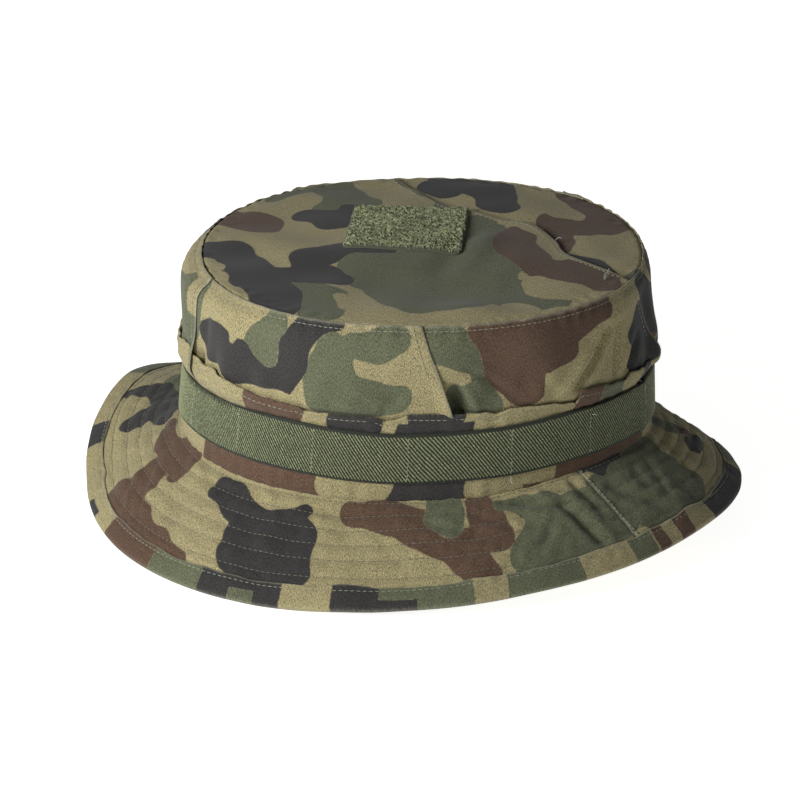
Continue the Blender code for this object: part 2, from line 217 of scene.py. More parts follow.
@dataclass(frozen=True)
class HatShape:
    """The crown wall, crown top and brim as surfaces that every layer is laid on."""

    opening_length: float = 197 * MM
    opening_depth: float = 160 * MM
    opening_x: float = 0.5 * MM
    opening_y: float = 3.3 * MM
    opening_forward: float = 7 * MM
    opening_dip: float = 3 * MM
    opening_z: float = 34.65 * MM
    top_length: float = 186 * MM
    top_depth: float = 165 * MM
    top_x: float = 3.5 * MM
    top_y: float = 3.3 * MM
    top_z: float = 111.55 * MM
    top_tilt: float = 1 * MM
    top_dome: float = 2.2 * MM
    oval_power: float = 2.15
    oval_turn: float = 3.0
    shoulder: Keys = ((0, 2.9), (45, 2.6), (90, 3), (135, 4.5), (180, 7.2), (225, 4.5), (270, 3),
                      (315, 2.6))
    belly: Keys = ((0, 4.8), (45, 3.2), (90, 2), (135, 3.5), (180, 4.9), (225, 3), (270, 1.5), (315, 3.2))
    brim_width: Keys = ((0, 48), (30, 50), (60, 50), (90, 50), (120, 49), (150, 46), (180, 48), (210, 51),
                        (240, 53), (270, 53), (300, 47.5), (330, 43))
    edge_height: Keys = ((0, 7.5), (15, 4), (30, 1.2), (45, 0.95), (60, 1.9), (75, 1.5), (90, 0.9),
                         (105, 1.5), (120, 8.2), (135, 21), (150, 28.6), (165, 19.6), (180, 9.6),
                         (195, 5.3), (210, 3.3), (225, 1.5), (240, 0.9), (255, 2.6), (270, 5.5),
                         (285, 8.3), (300, 10.7), (315, 12.3), (330, 12.7), (345, 10.9))
    # mm that the line where the brim leaves the wall lies above the opening
    root_lift: Keys = ((0, 4), (30, 1), (60, 0), (90, 0), (120, 0.5), (150, 3), (180, 6.5), (190, 6.5),
                       (200, 5.4), (210, 4.2), (220, 2.9), (230, 1.6), (240, 0.3), (250, -1), (260, -1.6),
                       (270, -1.6), (280, -1.3), (290, 0.5), (300, 3.4), (310, 5.8), (320, 7.2), (330, 7.8),
                       (345, 6.5))
    brim_arch: float = 1.2 * MM
    wall_pitch: float = 1.55        # mm along the wall for each degree
    brim_pitch: float = 2.0         # mm along the brim's middle for each degree
    wall_creases: tuple[Crease, ...] = (
        Crease((318, 66), (314.5, 58), 1.7, 1.9), Crease((314.5, 58), (306.5, 44), 1.8, 1.8),
        Crease((322.5, 66), (321, 45), 1.5, 1.8), Crease((331, 56), (325.5, 41), 1.6, 2.2),
        Crease((310, 58), (302, 42), -0.8, 2.6), Crease((275, 50), (278.5, 38), 2.3, 1.5),
        Crease((277, 57), (283, 52), 0.8, 1.5), Crease((282, 52), (290, 42), 0.9, 2.0),
        Crease((260, 40), (261, 33), 1.2, 1.3), Crease((205, 72), (203, 46), 0.9, 3.0),
        Crease((192, 70), (195, 48), -0.9, 3.0), Crease((250, 47), (258, 40), 0.8, 2.0),
        Crease((266, 46), (262, 36), -0.8, 2.0), Crease((226, 44), (236, 40), 0.5, 2.0),
        Crease((296, 52), (300, 40), 0.5, 2.4),
        Crease((340, 70), (347, 44), 1.0, 3.0), Crease((20, 66), (14, 42), 1.1, 2.6),
        Crease((52, 60), (60, 40), 1.2, 2.6), Crease((78, 66), (74, 42), 0.9, 2.4),
        Crease((104, 62), (112, 40), 1.2, 2.8), Crease((146, 64), (140, 44), 1.1, 2.8),
        Crease((168, 66), (176, 44), 1.0, 2.6))
    brim_creases: tuple[Crease, ...] = (
        Crease((285, 46), (300, 33.5), 2.3, 2.4), Crease((300, 34), (305, 13), 2.3, 2.3),
        Crease((304, 47), (308, 24), 1.3, 2.2), Crease((296, 28), (290, 14), 0.8, 2.2),
        Crease((278, 42), (287, 31), 1.0, 1.8), Crease((270, 38), (278, 30), 0.6, 1.8),
        Crease((293, 48), (297, 37), -0.8, 2.4), Crease((314, 34), (324, 14), 0.9, 2.6),
        Crease((331, 40), (326, 18), 0.8, 3.0), Crease((190, 35), (199, 13), -0.9, 1.9),
        Crease((194, 36), (203, 16), 0.7, 1.8), Crease((177, 38), (181, 26), -0.8, 1.7),
        Crease((184, 38), (190, 22), 0.6, 2.0), Crease((345, 44), (340, 20), 0.9, 3.0),
        Crease((236, 46), (262, 44), 0.6, 2.2), Crease((212, 46), (232, 43), 0.5, 2.0),
        Crease((20, 45), (28, 20), 0.9, 3.0), Crease((70, 42), (62, 18), 0.8, 3.2),
        Crease((110, 44), (120, 20), 0.9, 3.0))
    top_creases: tuple[Crease, ...] = (
        Crease((-34, -40), (34, -38), 2.3, 19.0),
        Crease((34, 14), (20, -26), -0.7, 5.0), Crease((24, 14), (10, -24), 0.6, 5.0),
        Crease((-20, -50), (40, -58), 0.4, 6.0), Crease((-72, 10), (-52, -30), 0.4, 6.0))

    def oval(self, azimuth: Array, length: float, depth: float, forward: float = 0.0) -> Array:
        """Level points of a blunt oval, its widest place moved forward.

        Args:
            azimuth: Degrees from +X towards +Y.
            length: Length of the oval along x.
            depth: Depth of the oval along y.
            forward: How far its two ends are moved towards the front.

        Returns:
            Points as x and y.
        """
        turn = math.radians(self.oval_turn)
        cosine, sine = np.cos(np.radians(azimuth)), np.sin(np.radians(azimuth))
        power = 2 / self.oval_power
        x = length / 2 * np.sign(cosine) * np.abs(cosine) ** power
        y = depth / 2 * np.sign(sine) * np.abs(sine) ** power - forward * cosine**2
        return np.stack([x * math.cos(turn) - y * math.sin(turn),
                         x * math.sin(turn) + y * math.cos(turn)], -1)

    def opening(self, azimuth: Array) -> Array:
        """Points of the head opening, where crown and brim meet."""
        plan = self.oval(azimuth, self.opening_length, self.opening_depth, self.opening_forward)
        height = self.opening_z - self.opening_dip * np.cos(np.radians(azimuth)) ** 2
        return np.stack([plan[..., 0] + self.opening_x, plan[..., 1] + self.opening_y, height], -1)

    def outward(self, azimuth: Array) -> Array:
        """Level unit vectors that point out of the opening."""
        along = self.opening(azimuth + 0.5) - self.opening(azimuth - 0.5)
        return unit(np.stack([along[..., 1], -along[..., 0], 0 * along[..., 0]], -1))

    def top_height(self, x: Array, y: Array) -> Array:
        """Height of the crown top over places on the plan."""
        across = 2 * (x - self.top_x) / self.top_length
        along = 2 * (y - self.top_y) / self.top_depth
        return self.top_z + self.top_tilt * along + self.top_dome * np.maximum(0, 1 - across**2 - along**2)

    def top_rim(self, azimuth: Array) -> Array:
        """Points on the crown seam."""
        plan = self.oval(azimuth, self.top_length, self.top_depth) + (self.top_x, self.top_y)
        return np.concatenate([plan, self.top_height(plan[..., 0], plan[..., 1])[..., None]], -1)

    def wall_height(self, azimuth: Array) -> Array:
        """Height in mm from the opening to the crown seam."""
        return (self.top_rim(azimuth)[..., 2] - self.opening(azimuth)[..., 2]) / MM

    def bare_wall(self, azimuth: Array, height: Array) -> Array:
        """Points of the smooth crown wall.

        Args:
            azimuth: Degrees from +X towards +Y.
            height: Millimetres above the head opening.

        Returns:
            Points in metres.
        """
        azimuth, height = np.broadcast_arrays(np.asarray(azimuth, float), np.asarray(height, float))
        share = height / self.wall_height(azimuth)
        foot, head = self.opening(azimuth), self.top_rim(azimuth)
        shoulder, belly = around(self.shoulder, azimuth) * MM, around(self.belly, azimuth) * MM
        above = shoulder * (1 - ((share - 0.89) / 0.11) ** 2)
        between = belly + (shoulder - belly) * blend(share, 0.53, 0.89)
        bulge = np.where(share > 0.89, above,
                         np.where(share > 0.53, between, belly * blend(share, 0.43, 0.53)))
        return foot + (head - foot) * share[..., None] + self.outward(azimuth) * bulge[..., None]

    def wall_relief(self, azimuth: Array, height: Array) -> Array:
        """Folds, puckers and unevenness of the wall in mm, fading out under the bands.

        Args:
            azimuth: Degrees from +X towards +Y.
            height: Millimetres above the head opening.

        Returns:
            Millimetres outward at each place.
        """
        azimuth, pitch = np.mod(azimuth, 360.0), self.wall_pitch
        free = blend(height, 31, 46)
        seam = np.clip((self.wall_height(azimuth) - height) / 9, 0, 1)
        soft = 0.6 * ring_ripple(azimuth, height, pitch, 11, 26, 70, 0.55)
        puffs = 0.5 * ring_ripple(azimuth, height, pitch, 12, 11, 24,
                                  0.45) * np.exp(-(((height - 45) / 9) ** 2))
        puckers = 0.18 * ring_ripple(azimuth, height, pitch, 13, 5, 9, 0.3) * (1 - seam) ** 0.8
        creases = sum(crease.depth_at(azimuth, height, pitch) for crease in self.wall_creases)
        drawn = -0.45 * np.exp(-(((self.wall_height(azimuth) - height - 1.8) / 1.1) ** 2))
        return (soft * seam + creases) * free + puffs * free + puckers + drawn

    def wall(self, azimuth: Array, height: Array, offset: Array = 0.0) -> Array:
        """Points on the wall with its folds, moved out by an offset in metres."""
        along = self.bare_wall(azimuth + 0.6, height) - self.bare_wall(azimuth - 0.6, height)
        up = self.bare_wall(azimuth, height + 0.6) - self.bare_wall(azimuth, height - 0.6)
        move = self.wall_relief(azimuth, height) * MM + offset
        return self.bare_wall(azimuth, height) + unit(np.cross(along, up)) * np.asarray(move)[..., None]

    def brim_reach(self, azimuth: Array) -> Array:
        """Width of the brim in mm from its edge to the line where it leaves the wall."""
        drop = self.opening(azimuth)[..., 2] / MM - around(self.edge_height, azimuth)
        level = np.sqrt(around(self.brim_width, azimuth) ** 2 - drop**2)
        return np.hypot(level, drop + around(self.root_lift, azimuth))

    def bare_brim(self, azimuth: Array, inset: Array) -> Array:
        """Points of the smooth brim's middle.

        Args:
            azimuth: Degrees from +X towards +Y.
            inset: Millimetres in from the brim's edge.

        Returns:
            Points in metres.
        """
        azimuth, inset = np.broadcast_arrays(np.asarray(azimuth, float), np.asarray(inset, float) * MM)
        width = self.brim_reach(azimuth) * MM
        root = self.opening(azimuth)
        root[..., 2] += around(self.root_lift, azimuth) * MM
        droop = np.arcsin((root[..., 2] - around(self.edge_height, azimuth) * MM) / width)[..., None]
        out, up = self.outward(azimuth), np.array((0.0, 0.0, 1.0))
        run = out * np.cos(droop) - up * np.sin(droop)
        rise = out * np.sin(droop) + up * np.cos(droop)
        arch = self.brim_arch * np.sin(math.pi * inset / width)
        return root + run * (width - inset)[..., None] + rise * arch[..., None]

    def brim_relief(self, azimuth: Array, inset: Array) -> Array:
        """Waves and folds of the brim in mm, which all its layers share.

        Args:
            azimuth: Degrees from +X towards +Y.
            inset: Millimetres in from the brim's edge.

        Returns:
            Millimetres to add at each place.
        """
        azimuth, pitch = np.mod(azimuth, 360.0), self.brim_pitch
        free = blend(self.brim_reach(azimuth) - inset, 1, 10) * (0.35 + 0.65 * blend(inset, 0, 14))
        waves = 0.5 * ring_ripple(azimuth, inset, pitch, 21, 30, 90)
        waves = waves + 0.26 * ring_ripple(azimuth, inset, pitch, 22, 12, 26, 0.7)
        creases = sum(crease.depth_at(azimuth, inset, self.brim_pitch) for crease in self.brim_creases)
        return (waves + creases) * free

    def brim(self, azimuth: Array, inset: Array, offset: Array = 0.0) -> Array:
        """Points on the brim with its folds, moved up off it by an offset in metres."""
        along = self.bare_brim(azimuth + 0.6, inset) - self.bare_brim(azimuth - 0.6, inset)
        inward = self.bare_brim(azimuth, inset + 0.6) - self.bare_brim(azimuth, inset - 0.6)
        move = self.brim_relief(azimuth, inset) * MM + offset
        return self.bare_brim(azimuth, inset) + unit(np.cross(along, inward)) * np.asarray(move)[..., None]

    def top(self, plan: Array, offset: Array = 0.0) -> Array:
        """Points of the crown top with its folds, over places on the plan.

        Args:
            plan: Places as x and y in metres.
            offset: Metres upward.

        Returns:
            Points in metres.
        """
        x, y = plan[..., 0], plan[..., 1]
        u, v = x / MM, y / MM
        across = 2 * (x - self.top_x) / self.top_length
        along = 2 * (y - self.top_y) / self.top_depth
        rim = np.clip(1 - np.sqrt(across**2 + along**2), 0, 1)
        relief = 0.4 * ripple(u, v, 31, 28, 80) * blend(rim, 0, 0.12)
        folds = sum(crease.depth_at(u, v, 1.0) for crease in self.top_creases)
        relief = relief + folds * blend(rim, 0, 0.15)
        relief = relief + 0.14 * ripple(u, v, 32, 5, 10) * (1 - blend(rim, 0.01, 0.09))
        height = self.top_height(x, y) + relief * MM + offset
        return np.stack([x, y, height], -1)


# ---------------------------------------------------------------------------------------------
# The printed pattern
# ---------------------------------------------------------------------------------------------


class Ink(Enum):
    """Colours of the print; the cloth's own colour is the khaki."""

    KHAKI = "khaki"
    GREEN = "green"
    BROWN = "brown"
    BLACK = "black"


PRINTED = (Ink.GREEN, Ink.BROWN, Ink.BLACK)
Spot = tuple[float, float, float]


@dataclass(frozen=True)
class Blot:
    """A rounded patch of one ink: discs of (along, up, radius in mm) joined by tapering necks."""

    ink: Ink
    spots: tuple[Spot, ...]
    soft: float = 4.5       # mm over which its discs and necks run together

    def depth(self, u: Array, v: Array, pitch: float) -> Array:
        """Distance in mm from the patch's edge, above 0 inside it.

        Args:
            u: First coordinate of each place.
            v: Second coordinate of each place.
            pitch: Millimetres for one unit of the first coordinate.

        Returns:
            The distance at each place.
        """
        total = np.full(u.shape, -1e3)
        pairs = list(zip(self.spots, self.spots[1:])) or [(self.spots[0], self.spots[0])]
        for (u0, v0, r0), (u1, v1, r1) in pairs:
            run = np.array(((u1 - u0) * pitch, v1 - v0))
            x, y = (u - u0) * pitch, v - v0
            t = np.clip((x * run[0] + y * run[1]) / max(run @ run, 1e-9), 0, 1)
            part = r0 + (r1 - r0) * t - np.hypot(x - t * run[0], y - t * run[1])
            share = np.clip(0.5 + 0.5 * (total - part) / self.soft, 0, 1)
            total = part * (1 - share) + total * share + self.soft * share * (1 - share)
        return total


@dataclass(frozen=True)
class Stripe:
    """A patch of one ink between two places along a narrow strip."""

    ink: Ink
    start: float
    end: float
    low: float = -99.0
    high: float = 99.0

    def depth(self, u: Array, v: Array, pitch: float) -> Array:
        """Distance in mm from the patch's edge, above 0 inside it."""
        sides = np.minimum((u - self.start) * pitch, (self.end - u) * pitch)
        return np.minimum(sides, np.minimum(v - self.low, self.high - v))


@dataclass(frozen=True)
class Print:
    """The print on one piece of cloth, painted in order."""

    blots: tuple[Blot | Stripe, ...]
    pitch: float = 1.0      # mm for one unit along
    seed: int = 0
    waver: float = 1.3      # mm that edges stray from their drawn line
    grow: float = 0.0       # mm that inked patches spread beyond their drawn line

    def fields(self, u: Array, v: Array) -> dict[str, Array]:
        """Signed distances in mm from the edge of each ink, by its name.

        Args:
            u: First coordinate of each place.
            v: Second coordinate of each place.

        Returns:
            For each printed ink's name, distances above 0 where it is seen.
        """
        x = u * self.pitch
        bent_u = u + self.waver * ripple(x, v, 100 + self.seed, 14, 40) / self.pitch
        bent_v = v + self.waver * ripple(x, v, 200 + self.seed, 14, 40)
        result = {ink: np.full(u.shape, -50.0) for ink in PRINTED}
        for blot in self.blots:
            depth = blot.depth(bent_u, bent_v, self.pitch) + self.grow * (blot.ink is not Ink.KHAKI)
            for ink in PRINTED:
                if ink is blot.ink:
                    result[ink] = np.maximum(result[ink], depth)
                else:
                    result[ink] = np.minimum(result[ink], -depth)
        return {ink.value: value for ink, value in result.items()}


def scattered(seed: int, count: int, along: tuple[float, float], up: tuple[float, float],
              pitch: float = 1.0) -> tuple[Blot, ...]:
    """Patches strewn over cloth that no listed patch covers.

    Args:
        seed: Fixes the patches.
        count: How many there are.
        along: Range of the first coordinate.
        up: Range of the second coordinate.
        pitch: Millimetres for one unit along.

    Returns:
        Green patches first, then brown and black ones.
    """
    draw = np.random.default_rng(seed)
    inks = [Ink.GREEN] * round(count * 0.42) + [Ink.BROWN] * round(count * 0.28)
    inks += [Ink.BLACK] * (count - len(inks))
    rows = max(1, round(math.sqrt(count * (up[1] - up[0]) / ((along[1] - along[0]) * pitch))))
    blots = []
    for number, ink in enumerate(inks):
        share = (number * 0.618034 + draw.uniform(-0.05, 0.05)) % 1
        u = along[0] + share * (along[1] - along[0])
        v = up[0] + (number % rows + draw.uniform(0.2, 0.8)) / rows * (up[1] - up[0])
        heading = draw.uniform(0, 2 * math.pi)
        spots = []
        for _ in range(draw.integers(3, 7)):
            radius = draw.uniform(5, 10.5) * (1.15 if ink is Ink.GREEN else 0.85)
            spots.append((u, v, radius))
            heading += draw.uniform(-1.1, 1.1)
            u += math.cos(heading) * radius * 1.35 / pitch
            v += math.sin(heading) * radius * 1.1
        blots.append(Blot(ink, tuple(spots)))
    return tuple(blots)


def blot(ink: Ink, *spots: Spot) -> Blot:
    """A patch of one ink through (along, up, radius) spots."""
    return Blot(ink, spots)


# ---------------------------------------------------------------------------------------------
# Meshes
# ---------------------------------------------------------------------------------------------


@dataclass
class Layer:
    """A cloth layer: mid-surface points in rows, with what its finish needs at each of them.

    Rows run anticlockwise seen from outside or above, and follow each other upward or inward.
    """

    points: Array
    u: Array                # mm along the cloth
    v: Array                # mm across it
    thickness: float = CLOTH
    closed: bool = False
    fields: dict[str, Array] | None = None
    wear: Array | None = None

    def normals(self) -> Array:
        """Unit normals of the mid-surface.

        Returns:
            A unit vector for each point of the grid.
        """
        if self.closed:
            along = np.roll(self.points, -1, 1) - np.roll(self.points, 1, 1)
        else:
            along = np.gradient(self.points, axis=1)
        return unit(np.cross(along, np.gradient(self.points, axis=0)))

    def area(self) -> float:
        """Area of the mid-surface in square metres."""
        grid = np.concatenate([self.points, self.points[:, :1]], 1) if self.closed else self.points
        one = np.cross(grid[1:, 1:] - grid[:-1, :-1], grid[1:, :-1] - grid[:-1, 1:])
        return float(np.linalg.norm(one, axis=-1).sum() / 2)

    def flat_size(self) -> tuple[float, float]:
        """Longest run along and across the cloth in metres, to the next whole millimetre."""
        grid = np.concatenate([self.points, self.points[:, :1]], 1) if self.closed else self.points
        runs = np.linalg.norm(np.diff(grid, axis=1), axis=-1).sum(1).max()
        rises = np.linalg.norm(np.diff(grid, axis=0), axis=-1).sum(0).max()
        return math.ceil(runs / MM) * MM, math.ceil(rises / MM) * MM

    def rim(self) -> list[Array]:
        """Grid numbers along each edge of the cloth, with the cloth on their left.

        Returns:
            Two runs for a closed ring, else one.
        """
        rows, columns = self.points.shape[:2]
        grid = np.arange(rows * columns).reshape(rows, columns)
        if self.closed:
            return [grid[0], grid[-1, ::-1]]
        return [np.concatenate([grid[0, :-1], grid[:-1, -1], grid[-1, :0:-1], grid[:0:-1, 0]])]

    def mesh(self, name: str) -> bpy.types.Mesh:
        """Closed shell of the cloth's thickness with rounded edges.

        Args:
            name: The mesh's name.

        Returns:
            A smooth-shaded mesh with its finish's attributes.
        """
        rows, columns = self.points.shape[:2]
        count = rows * columns
        half = self.normals().reshape(-1, 3) * self.thickness / 2
        flat = self.points.reshape(-1, 3)
        grid = np.arange(count).reshape(rows, columns)
        turned = np.roll(grid, -1, 1) if self.closed else grid[:, 1:]
        kept = grid if self.closed else grid[:, :-1]
        outer = np.stack([kept[:-1], turned[:-1], turned[1:], kept[1:]], -1).reshape(-1, 4)
        faces = [outer, outer[:, ::-1] + count]
        places, source = [flat + half, flat - half], [np.arange(count), np.arange(count)]
        start = 2 * count
        for loop in self.rim():
            edge = unit(np.roll(flat[loop], -1, 0) - np.roll(flat[loop], 1, 0))
            out = np.cross(edge, unit(half[loop])) * self.thickness / 2
            places.append(flat[loop] + np.where(np.isfinite(out), out, 0))
            source.append(loop)
            fold = np.arange(start, start + len(loop))
            start += len(loop)
            ahead, fold_ahead = np.roll(loop, -1), np.roll(fold, -1)
            faces.append(np.stack([ahead, loop, fold, fold_ahead], -1))
            faces.append(np.stack([fold_ahead, fold, loop + count, ahead + count], -1))
        mesh = bpy.data.meshes.new(name)
        mesh.from_pydata(np.concatenate(places), [], np.concatenate(faces))
        pick = np.concatenate(source)
        self.store(mesh, "outside", (np.arange(start) < count).astype(float))
        weave = np.stack([self.u.ravel()[pick], self.v.ravel()[pick], np.zeros(start)], -1)
        mesh.attributes.new("weave", "FLOAT_VECTOR", "POINT").data.foreach_set("vector", weave.ravel())
        self.store(mesh, "wear", (self.wear if self.wear is not None else self.u * 0).ravel()[pick])
        for key, value in (self.fields or {}).items():
            self.store(mesh, key, value.ravel()[pick])
        self.weld(mesh)
        return mesh

    @staticmethod
    def store(mesh: bpy.types.Mesh, name: str, values: Array) -> None:
        """Keep one number for each vertex as a named attribute."""
        mesh.attributes.new(name, "FLOAT", "POINT").data.foreach_set("value", values.astype(np.float32))

    @staticmethod
    def weld(mesh: bpy.types.Mesh) -> None:
        """Merge points that meet, and shade the mesh smooth.

        Args:
            mesh: The mesh to change.
        """
        model = bmesh.new()
        model.from_mesh(mesh)
        bmesh.ops.remove_doubles(model, verts=model.verts, dist=0.004 * MM)
        bmesh.ops.dissolve_degenerate(model, edges=model.edges, dist=0.001 * MM)
        model.to_mesh(mesh)
        model.free()
        mesh.shade_smooth()
        mesh.update()


def grid(first: Array, second: Array) -> tuple[Array, Array]:
    """Rows of (first, second) coordinates, where second grows from row to row."""
    return np.meshgrid(np.asarray(first, float), np.asarray(second, float))


# ---------------------------------------------------------------------------------------------
# Shaders
# ---------------------------------------------------------------------------------------------


class Value:
    """A shader number that takes part in Python arithmetic."""

    def __init__(self, tree: "ShaderTree", socket: bpy.types.NodeSocket) -> None:
        """Wrap a socket of a tree."""
        self.tree = tree
        self.socket = socket

    def __add__(self, other: "Value | float") -> "Value":
        """Sum."""
        return self.tree.maths("ADD", self, other)

    __radd__ = __add__

    def __mul__(self, other: "Value | float") -> "Value":
        """Product."""
        return self.tree.maths("MULTIPLY", self, other)

    __rmul__ = __mul__

    def __sub__(self, other: "Value | float") -> "Value":
        """Difference."""
        return self.tree.maths("SUBTRACT", self, other)

    def __rsub__(self, other: "Value | float") -> "Value":
        """Difference from a number."""
        return self.tree.maths("SUBTRACT", other, self)

    def __truediv__(self, other: "Value | float") -> "Value":
        """Quotient."""
        return self.tree.maths("DIVIDE", self, other)


class ShaderTree:
    """Builds the nodes of one material."""

    def __init__(self, name: str) -> None:
        """Start a material with its Principled shader.

        Args:
            name: Name of the material.
        """
        self.material = bpy.data.materials.new(name)
        self.material.use_nodes = True
        self.nodes = self.material.node_tree.nodes
        self.links = self.material.node_tree.links
        self.shader = self.nodes["Principled BSDF"]

    def node(self, kind: str, settings: dict | None = None, **values: object) -> bpy.types.Node:
        """Add one node.

        Args:
            kind: The node's type.
            settings: Properties, set before the sockets.
            **values: Sockets by name, with underscores for spaces, or by number as i0, i1 and so on.

        Returns:
            The node.
        """
        made = self.nodes.new(kind)
        for key, value in (settings or {}).items():
            setattr(made, key, value)
        for key, value in values.items():
            numbered = key[0] == "i" and key[1:].isdigit()
            socket = made.inputs[int(key[1:])] if numbered else made.inputs[key.replace("_", " ")]
            self.feed(socket, value)
        return made

    def feed(self, socket: bpy.types.NodeSocket, value: object) -> None:
        """Link a socket or set its value.

        Args:
            socket: The socket to feed.
            value: A socket, a Value or a plain value.
        """
        if isinstance(value, Value):
            self.links.new(value.socket, socket)
        elif isinstance(value, bpy.types.NodeSocket):
            self.links.new(value, socket)
        elif socket.type == "VECTOR" and hasattr(value, "__len__"):
            socket.default_value = value[:3]
        else:
            socket.default_value = value

    def maths(self, operation: str, first: Value | float, second: Value | float) -> Value:
        """Result of a Math node."""
        made = self.node("ShaderNodeMath", {"operation": operation}, i0=first, i1=second)
        return Value(self, made.outputs[0])

    def sine(self, angle: Value) -> Value:
        """Sine of an angle in radians."""
        return self.maths("SINE", angle, 0.0)

    def ramp(self, value: Value, low: float, high: float, start: float = 0.0, end: float = 1.0) -> Value:
        """Smooth step from start at low to end at high."""
        made = self.node("ShaderNodeMapRange", {"interpolation_type": "SMOOTHSTEP"}, Value=value,
                         From_Min=low, From_Max=high, To_Min=start, To_Max=end)
        return Value(self, made.outputs[0])

    def attribute(self, name: str) -> bpy.types.Node:
        """The node that reads an attribute."""
        return self.node("ShaderNodeAttribute", {"attribute_name": name})

    def number(self, name: str) -> Value:
        """A number kept at each vertex."""
        return Value(self, self.attribute(name).outputs["Fac"])

    def place(self) -> bpy.types.NodeSocket:
        """Object coordinates."""
        return self.node("ShaderNodeTexCoord").outputs["Object"]

    def noise(self, vector: bpy.types.NodeSocket, scale: float, detail: float = 2.0) -> Value:
        """Noise from 0 to 1, about 0.5 in the middle."""
        made = self.node("ShaderNodeTexNoise", Vector=vector, Scale=scale, Detail=detail)
        return Value(self, made.outputs[0])

    def stretch(self, vector: bpy.types.NodeSocket, scale: tuple[float, float, float],
                turn: float = 0.0) -> bpy.types.NodeSocket:
        """A vector scaled along each axis after a turn about Z in degrees."""
        made = self.node("ShaderNodeMapping", Vector=vector, Scale=scale,
                         Rotation=(0, 0, math.radians(turn)))
        return made.outputs[0]

    def mix(self, share: Value | float, first: object, second: object) -> bpy.types.NodeSocket:
        """Colour between two colours."""
        made = self.node("ShaderNodeMix", {"data_type": "RGBA"}, i0=share, i6=first, i7=second)
        return made.outputs[2]

    def brighten(self, colour: object, factor: Value) -> bpy.types.NodeSocket:
        """Colour times a number."""
        made = self.node("ShaderNodeVectorMath", {"operation": "SCALE"}, i0=colour, i3=factor)
        return made.outputs[0]

    def bump(self, height: Value, distance: float, strength: float = 1.0) -> None:
        """Raise the surface by a height from 0 to 1 times a distance in metres."""
        made = self.node("ShaderNodeBump", Height=height, Distance=distance, Strength=strength)
        self.links.new(made.outputs[0], self.shader.inputs["Normal"])

    def finish(self, colour: object, roughness: Value | float, sheen: float = 0.0,
               specular: float = 0.3) -> bpy.types.Material:
        """Set the shader's own sockets and hand over the material.

        Args:
            colour: Base colour.
            roughness: Roughness.
            sheen: Sheen weight.
            specular: Specular level.

        Returns:
            The material.
        """
        self.feed(self.shader.inputs["Base Color"], colour)
        self.feed(self.shader.inputs["Roughness"], roughness)
        self.shader.inputs["Sheen Weight"].default_value = sheen
        self.shader.inputs["Sheen Roughness"].default_value = 0.6
        self.shader.inputs["Specular IOR Level"].default_value = specular
        return self.material


Colour = tuple[float, float, float, float]


@dataclass(frozen=True)
class PrintedCloth:
    """Matt twill with the four-colour print, mottled by its heathered threads."""

    name: str = "printed_cloth"
    khaki: Colour = (0.312, 0.268, 0.138, 1)
    green: Colour = (0.108, 0.117, 0.066, 1)
    brown: Colour = (0.100, 0.058, 0.036, 1)
    black: Colour = (0.033, 0.031, 0.030, 1)
    dust: Colour = (0.36, 0.34, 0.25, 1)
    thread_pitch: float = 0.85          # mm between ribs of the twill
    softness: float = 0.35              # mm of blur on each side of a print edge

    def build(self) -> bpy.types.Material:
        """Make the material.

        Returns:
            The material.
        """
        tree = ShaderTree(self.name)
        place, weave = tree.place(), tree.attribute("weave").outputs["Vector"]
        edge = (tree.noise(place, 900, 1.0) - 0.5) * 0.5
        colour: object = self.khaki
        for ink, tint in (("green", self.green), ("brown", self.brown), ("black", self.black)):
            share = tree.ramp(tree.number(ink) + edge, -self.softness, self.softness)
            colour = tree.mix(share, colour, tint)
        warp = tree.noise(tree.stretch(weave, (3.2, 1.0, 1), 32), 1.0, 2.0)
        weft = tree.noise(tree.stretch(weave, (2.8, 1.0, 1), -58), 1.0, 2.0)
        speck = tree.noise(place, 2300, 1.0)
        cloud = tree.noise(place, 28, 3.0)
        split = tree.node("ShaderNodeSeparateXYZ", Vector=weave)
        u, v = Value(tree, split.outputs[0]), Value(tree, split.outputs[1])
        twill = tree.sine((u + v * 0.62) * (2 * math.pi / self.thread_pitch)) * 0.5 + 0.5
        mottle = (warp - 0.5) * 1.7 + (weft - 0.5) * 1.2 + (speck - 0.5) * 1.4 + (twill - 0.5) * 0.16
        value = tree.maths("MAXIMUM", 1.0 + mottle * 1.2 + (cloud - 0.5) * 0.35, 0.3)
        colour = tree.brighten(colour, value)
        worn = tree.ramp(tree.number("wear") + (warp - 0.5) * 0.9, 0.35, 1.1, 0.0, 0.5)
        colour = tree.mix(worn, colour, self.dust)
        tree.bump(twill * 0.35 + warp * 0.5 + speck * 0.35, 0.16 * MM, 0.55)
        roughness = 0.86 + (speck - 0.5) * 0.2
        return tree.finish(colour, roughness, sheen=0.12, specular=0.2)


@dataclass(frozen=True)
class PlainCloth:
    """Plain-weave cloth or felt of one colour."""

    name: str
    tint: Colour
    mottle: float = 0.35
    thread_pitch: float = 0.5           # mm

    def build(self) -> bpy.types.Material:
        """Make the material.

        Returns:
            The material.
        """
        tree = ShaderTree(self.name)
        place, weave = tree.place(), tree.attribute("weave").outputs["Vector"]
        split = tree.node("ShaderNodeSeparateXYZ", Vector=weave)
        u, v = Value(tree, split.outputs[0]), Value(tree, split.outputs[1])
        rate = 2 * math.pi / self.thread_pitch
        cross = tree.sine(u * rate) * tree.sine(v * rate)
        speck = tree.noise(place, 1500, 2.0)
        cloud = tree.noise(place, 40, 2.0)
        value = 1.0 + (speck - 0.5) * self.mottle + (cloud - 0.5) * 0.3 + cross * 0.06
        tree.bump(cross * 0.3 + speck, 0.12 * MM, 0.5)
        return tree.finish(tree.brighten(self.tint, value), 0.9 + (speck - 0.5) * 0.1, sheen=0.1)


